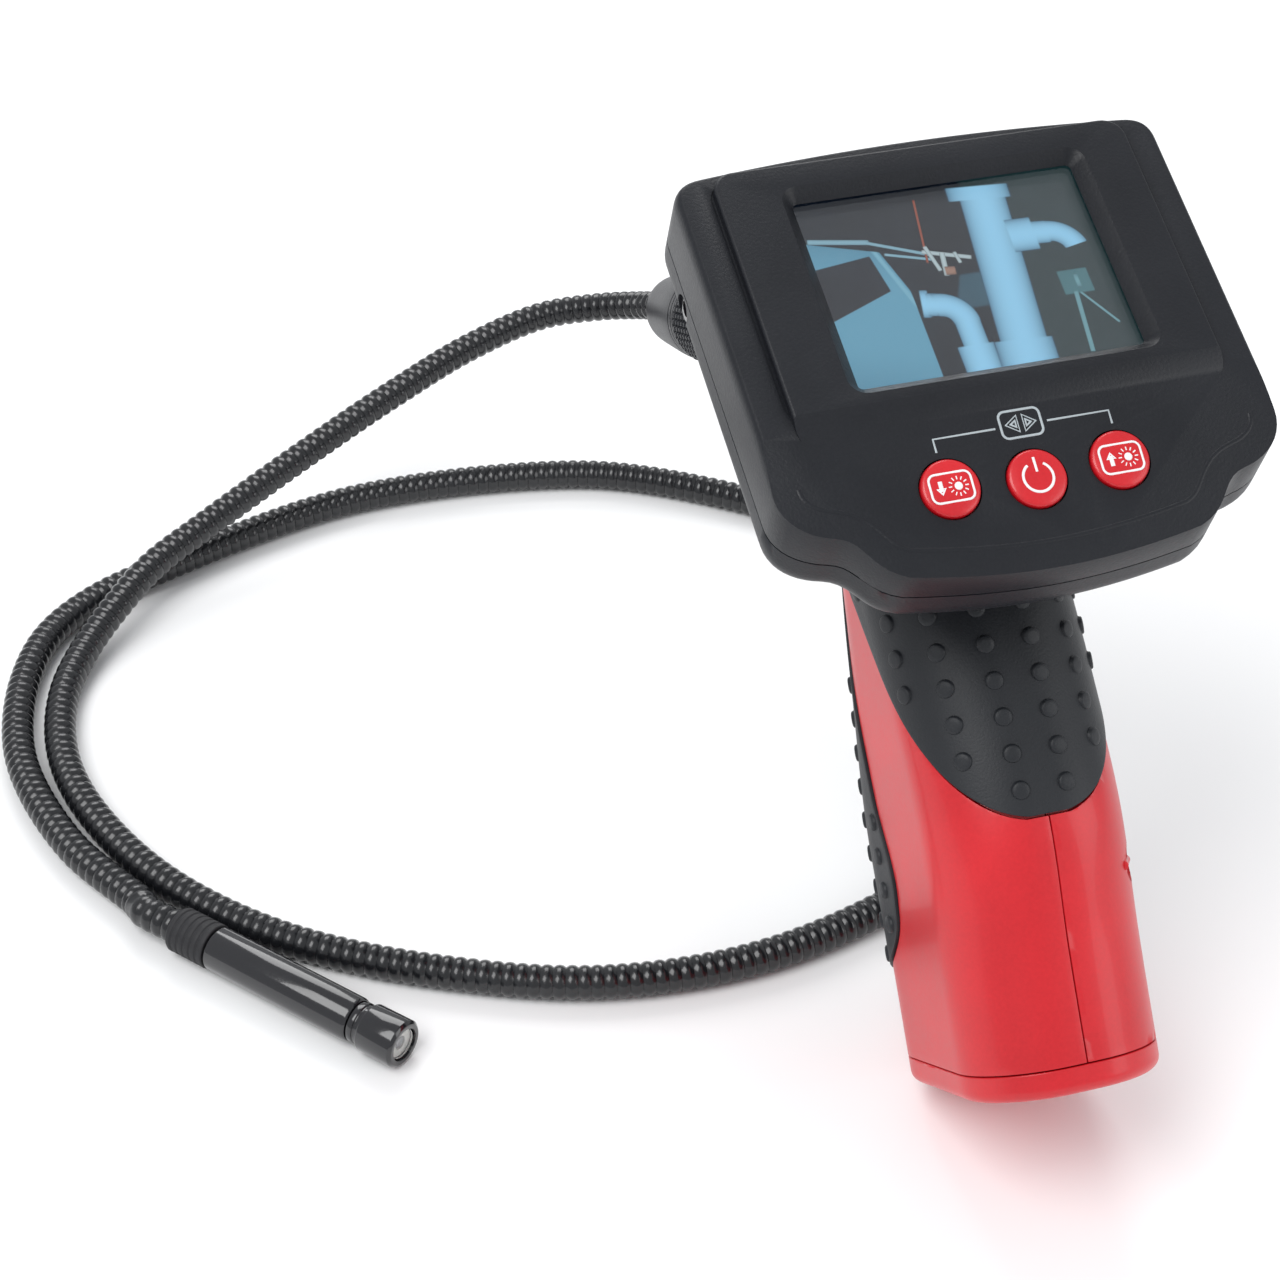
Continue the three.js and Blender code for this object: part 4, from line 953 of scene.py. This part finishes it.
def make_dot():
    """One raised dot of a grip, 3.2 mm across, low and nearly flat."""
    return lathe("dot", [(1.75, -0.15), (1.62, 0.1), (1.55, 0.36), (1.35, 0.5), (0.7, 0.56)], 18)


def make_grip(name, node, row, rear):
    grip = grip_form(name, row, rear, 0, -GRIP_DEPTH, GRIP_PROUD)
    softened(grip, 0.3, 2, 50)
    dot = make_dot()
    dots = []
    row_pitch, column_pitch = 6.4, 8.4
    first_row = 24.4 if rear else 54
    for row_index in range(12):
        z = first_row + row_index * row_pitch
        rows = [row(v / 100, 0) for v in range(101)]
        half_width = next((width for height, width in rows if height >= z), 0)
        for column_index in range(-4, 4):
            s = (column_index + 0.5) * column_pitch
            if abs(s) > half_width - 2.6:
                continue
            start = half_perimeter(z) if rear else 0
            point = handle_point(start + s, z, GRIP_PROUD)
            outside = handle_point(start + s, z, GRIP_PROUD + 1)
            facing = Vector((0, 0, 1)).rotation_difference(outside - point).to_matrix().to_4x4()
            twin = copied(dot, "dot")
            moved(twin, Matrix.Translation(point) @ facing)
            dots.append(twin)
    bpy.data.objects.remove(dot, do_unlink=True)
    grip = joined(name, [grip, *dots])
    smoothed(grip, 50)
    dressed(placed(grip, DEVICE), GRIP_RUBBER, "housing", [node])


HANDLE_SCREWS = ((6, 76), (2, 95))
STRAP_HEIGHT, STRAP_TURN = 37, radians(65)


def side_rod(radius, start, end, y, z):
    """A round bar along X."""
    rod = lathe("rod", [(radius, start), (radius, end)], 40)
    return moved(rod, Matrix.Translation((0, y, z)) @ Matrix.Rotation(pi / 2, 4, "Y"))


def make_handle():
    bottom = CAP_HEIGHT + GAP
    shell = handle_form("handle_shell", lambda z: 0, bottom, HANDLE_TOP, 60)
    inside = handle_form("handle_inside", lambda z: -2.8, bottom - 1, HANDLE_TOP + 1, 20, 60)
    recesses = [
        grip_form("recess", row, rear, RECESS_GAP, -GRIP_DEPTH - RECESS_GAP, 3)
        for row, rear in ((front_grip_row, False), (rear_grip_row, True))
    ]
    combine(shell, [inside, *recesses])
    sink_start = HALF_WIDTH - 4.4
    for side, hand in ((-1, "left"), (1, "right")):
        half = copied(shell, f"handle_shell_{hand}")
        away = box("away", (-60 if side > 0 else -GAP / 2, -80, -5), (GAP / 2 if side > 0 else 60, 80, 125))
        combine(half, [away])
        if side > 0:
            sinks = [side_rod(2.9, sink_start, 40, y, z) for y, z in HANDLE_SCREWS]
            combine(half, sinks)
            add_strap_bar(half)
        softened(half, 0.3, 3, 45)
        dressed(placed(half, DEVICE), RED_PLASTIC, "housing", [f"handle_{hand}"])
    bpy.data.objects.remove(shell, do_unlink=True)


def add_strap_bar(half):
    """A pocket in the front right corner with a bar across it."""
    flat = HALF_WIDTH - CORNER
    surface = handle_point(flat + CORNER * STRAP_TURN, STRAP_HEIGHT, 0)
    place = Matrix.Translation(surface) @ Matrix.Rotation(STRAP_TURN - pi / 2, 4, "Z")
    lump = box("lump", (-3.2, -5, -4.8), (-1.6, 5, 4.8))
    turns = [radians(-80 + 160 * k / 16) for k in range(17)]
    pocket = lathe("pocket", [(cos(turn), sin(turn)) for turn in turns], 48)
    moved(pocket, Matrix.Diagonal((2.5, 3.6, 3.5, 1)))
    bar = lathe("bar", [(0.9, -4.4), (0.9, 4.4)], 32)
    moved(bar, Matrix.Translation((-0.9, 0, 0)) @ Matrix.Rotation(pi / 2, 4, "X"))
    for piece in (lump, pocket, bar):
        moved(piece, place)
    combine(half, [lump], "UNION")
    combine(half, [pocket])
    combine(half, [bar], "UNION")


def make_battery_cap():
    edge = 2.2

    def rounding(z):
        below = max(0, edge - z) / edge
        return -edge * (1 - sqrt(max(0, 1 - below**2)))

    cap = handle_form("cap_shell", rounding, 0, CAP_HEIGHT, 24)
    tongue = handle_form("tongue", lambda z: -3.1, 2.6, 11, 6)
    hollow = handle_form("hollow", lambda z: -4.7, 2.6, 12, 6)
    combine(cap, [tongue], "UNION")
    combine(cap, [hollow])
    softened(cap, 0.25, 3, 50)
    dressed(placed(cap, DEVICE), RED_PLASTIC, "battery_cap", ["battery_cap"])


# ---- Rear housing ----
BARREL_START, BARREL_LEVELS = 34, 34
BARREL_FORM = ((BARREL_START, 24), (56, 20.2), (76, 16), (96, 12.2), (108, 11), (BARREL_END, 11))
JACK_PLACE = (0, 12.2, -14.8)


def make_rear_housing():
    outline = head_outline()
    edge = rounded_edge(HEAD_BACK, 5, 3, 8)
    levels = [(2 * HEAD_BACK - height, inset) for height, inset in reversed(edge)] + [(PARTING - GAP, 0)]
    back = slab("rear_housing_shell", outline, levels)
    heights = [
        BARREL_START + (BARREL_END - BARREL_START) * k / BARREL_LEVELS for k in range(BARREL_LEVELS + 1)
    ]
    side = [(profile_value(BARREL_FORM, height), height) for height in heights]
    barrel = lathe("barrel", [(24, -20), *side[:-1], (10.6, 135.4), (10.2, BARREL_END), (8, BARREL_END),
                              (8, BARREL_END + 11.5), (7.5, BARREL_END + 12)], 96)
    moved(barrel, BARREL_SEAT @ UPRIGHT_TO_LYING)
    bore = lathe("bore", [(5.5, BARREL_END - 9), (5.5, BARREL_END + 20)], 48)
    moved(bore, BARREL_SEAT @ UPRIGHT_TO_LYING)
    saddle = handle_form("saddle", lambda z: 0, HANDLE_TOP + GAP, 118, 12)
    moved(back, HEAD_SEAT)
    combine(back, [barrel, saddle], "UNION")
    ahead = moved(box("ahead", (-90, -90, PARTING - GAP), (90, 90, 90)), HEAD_SEAT)
    cutters = [ahead, bore]
    for x, y in SCREWS:
        sink = lathe("sink", [(2.9, HEAD_BACK - 8), (2.9, HEAD_BACK + 4)], 40)
        cutters.append(moved(sink, HEAD_SEAT @ Matrix.Translation((x, y, 0))))
    jack = lathe("jack", [(2.7, -50), (2.7, -41.5)], 40)
    jack_place = HEAD_SEAT @ Matrix.Translation(JACK_PLACE) @ Matrix.Rotation(pi / 2, 4, "Y")
    cutters.append(moved(jack, jack_place))
    combine(back, cutters)
    softened(back, 0.4, 3, 40)
    dressed(placed(back, DEVICE), BLACK_PLASTIC, "housing", ["rear_housing"])


# ---- Nut and connector ----
def make_nut():
    """Cross-knurled, with plain collars at its ends."""
    radius, start, end = 10.4, BARREL_END + GAP, BARREL_END + GAP + NUT_LENGTH
    ribs, rows = 44, 9
    sides = ribs * 4
    levels = [
        (8.4, start), (radius - 0.9, start), (radius - 0.3, start + 0.6), (radius - 0.3, start + 2),
        (radius - 0.8, start + 2.3),
    ]
    pitch = (end - start - 5) / rows
    for row in range(rows):
        base = start + 2.5 + row * pitch
        levels += [
            (radius - 0.75, base), (radius, base + 0.6), (radius, base + pitch - 0.9),
            (radius - 0.75, base + pitch - 0.3),
        ]
    levels += [
        (radius - 0.8, end - 2.2), (radius - 0.3, end - 1.9), (radius - 0.3, end - 0.6), (radius - 0.9, end),
        (6.6, end), (6.6, BARREL_END + 14.9), (8.4, BARREL_END + 14.9), (8.4, start),
    ]

    def place(i, k):
        reach, height = levels[k]
        if reach >= radius and i % 4 == 0:
            reach -= 0.65
        turn = 2 * pi * i / sides
        return reach * cos(turn), reach * sin(turn), height

    nut = column("coupling_nut_knurled", sides, len(levels), place, True)
    smoothed(nut, 35)
    dressed(placed(nut, BARREL), BLACK_PLASTIC, "coupling_nut", ["coupling_nut"])


def make_connector():
    flange = BARREL_END + 12 + GAP
    body = BARREL_END + GAP + NUT_LENGTH + GAP
    base = [(7.8, flange), (8, flange + 0.2), (8, flange + 2.2), (6.2, flange + 2.2), (6.2, body)]
    dome = [
        (10, body), (10, body + 3.5), (9.95, body + 5), (9.8, body + 8), (9.5, body + 12), (9.2, body + 16),
        (8.9, body + 20), (8.6, body + 24), (8.3, body + 27), (8, body + 28.6), (7.5, body + 29.6),
        (6.8, CONNECTOR_END), (4.2, CONNECTOR_END), (4, CONNECTOR_END - 1), (1, CONNECTOR_END - 1),
    ]
    connector = lathe("probe_connector_turned", base + dome, 96)
    slit = box("slit", (-20, -0.35, body + 14), (20, 0.35, CONNECTOR_END + 1))
    core = lathe("core", [(7.4, body + 12), (7, CONNECTOR_END + 2)], 48)
    combine(slit, [core])
    moved(slit, Matrix.Rotation(radians(-52), 4, "Z"))
    ring = lathe("ring", [(9.4, body + 1.6), (11, body + 1.6), (11, body + 2.1), (9.4, body + 2.1)], 96, True)
    combine(connector, [slit, ring])
    softened(connector, 0.12, 2, 40)
    dressed(placed(connector, BARREL), BLACK_PLASTIC, "probe", ["probe_connector"])


make_head_front()
make_key_panel_lines()
make_keys()
make_rear_housing()
make_handle()
make_battery_cap()
make_grip("front_grip_dotted", "front_grip", front_grip_row, False)
make_grip("rear_grip_dotted", "rear_grip", rear_grip_row, True)
make_nut()
make_connector()

# ---- Finishes of the pieces that keep their own shape ----
NODE_FINISHES = {
    CLEAR: ["screen_window", "lens_window"],
    PICTURE: ["lcd_panel"],
    PALE_NYLON: ["display_frame", "probe_socket", "led_board"],
    BOARD: ["main_board", "power_board"],
    GLOSS_BLACK: ["video_jack", "switch_dim", "switch_power", "switch_bright", "camera_module"],
    BLACK_PLASTIC: ["cell_tray"],
    STEEL: [f"head_screw_{i}" for i in range(1, 5)] + ["handle_screw_1", "handle_screw_2"],
    CELL_METAL: [f"cell_{i}" for i in range(1, 5)],
    BRASS: ["upper_contact", "cap_contact", "plug_pins"],
    HARNESS_BLACK: ["probe_harness"],
}
for material, names in NODE_FINISHES.items():
    for name in names:
        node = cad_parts[name]
        for slot in node.material_slots:
            slot.material = material


# ---- Stage ----
def make_stage():
    bpy.ops.mesh.primitive_plane_add(size=8, location=(0, 0, 0))
    floor = bpy.context.object
    floor.name = "floor"
    floor.select_set(False)
    pale = Finish("pale floor", (0.93, 0.93, 0.93), 0.7)
    pale.roughness(pale.noise(30, 2) * 0.1 + 0.65)
    floor.data.materials.append(pale.material)
    lights = (
        ("key light", (-0.75, -0.35, 1.25), (0, 0.03, 0.08), 0.9, 13),
        ("fill light", (0.95, -0.75, 0.6), (0, 0, 0.08), 0.8, 4),
        ("back light", (0.2, 1.2, 1.1), (0, 0, 0.08), 0.9, 10),
    )
    for name, spot, target, size, power in lights:
        bpy.ops.object.light_add(type="AREA", location=spot)
        light = bpy.context.object
        light.name = name
        light.data.size = size
        light.data.energy = power
        aim = Vector(target) - Vector(spot)
        light.rotation_euler = aim.to_track_quat("-Z", "Y").to_euler()
        light.select_set(False)
    world = bpy.context.scene.world or bpy.data.worlds.new("studio")
    bpy.context.scene.world = world
    world.use_nodes = True
    background = world.node_tree.nodes["Background"]
    background.inputs["Color"].default_value = (0.95, 0.97, 1, 1)
    background.inputs["Strength"].default_value = 0.62
    bpy.context.scene.view_settings.view_transform = "Standard"


make_stage()
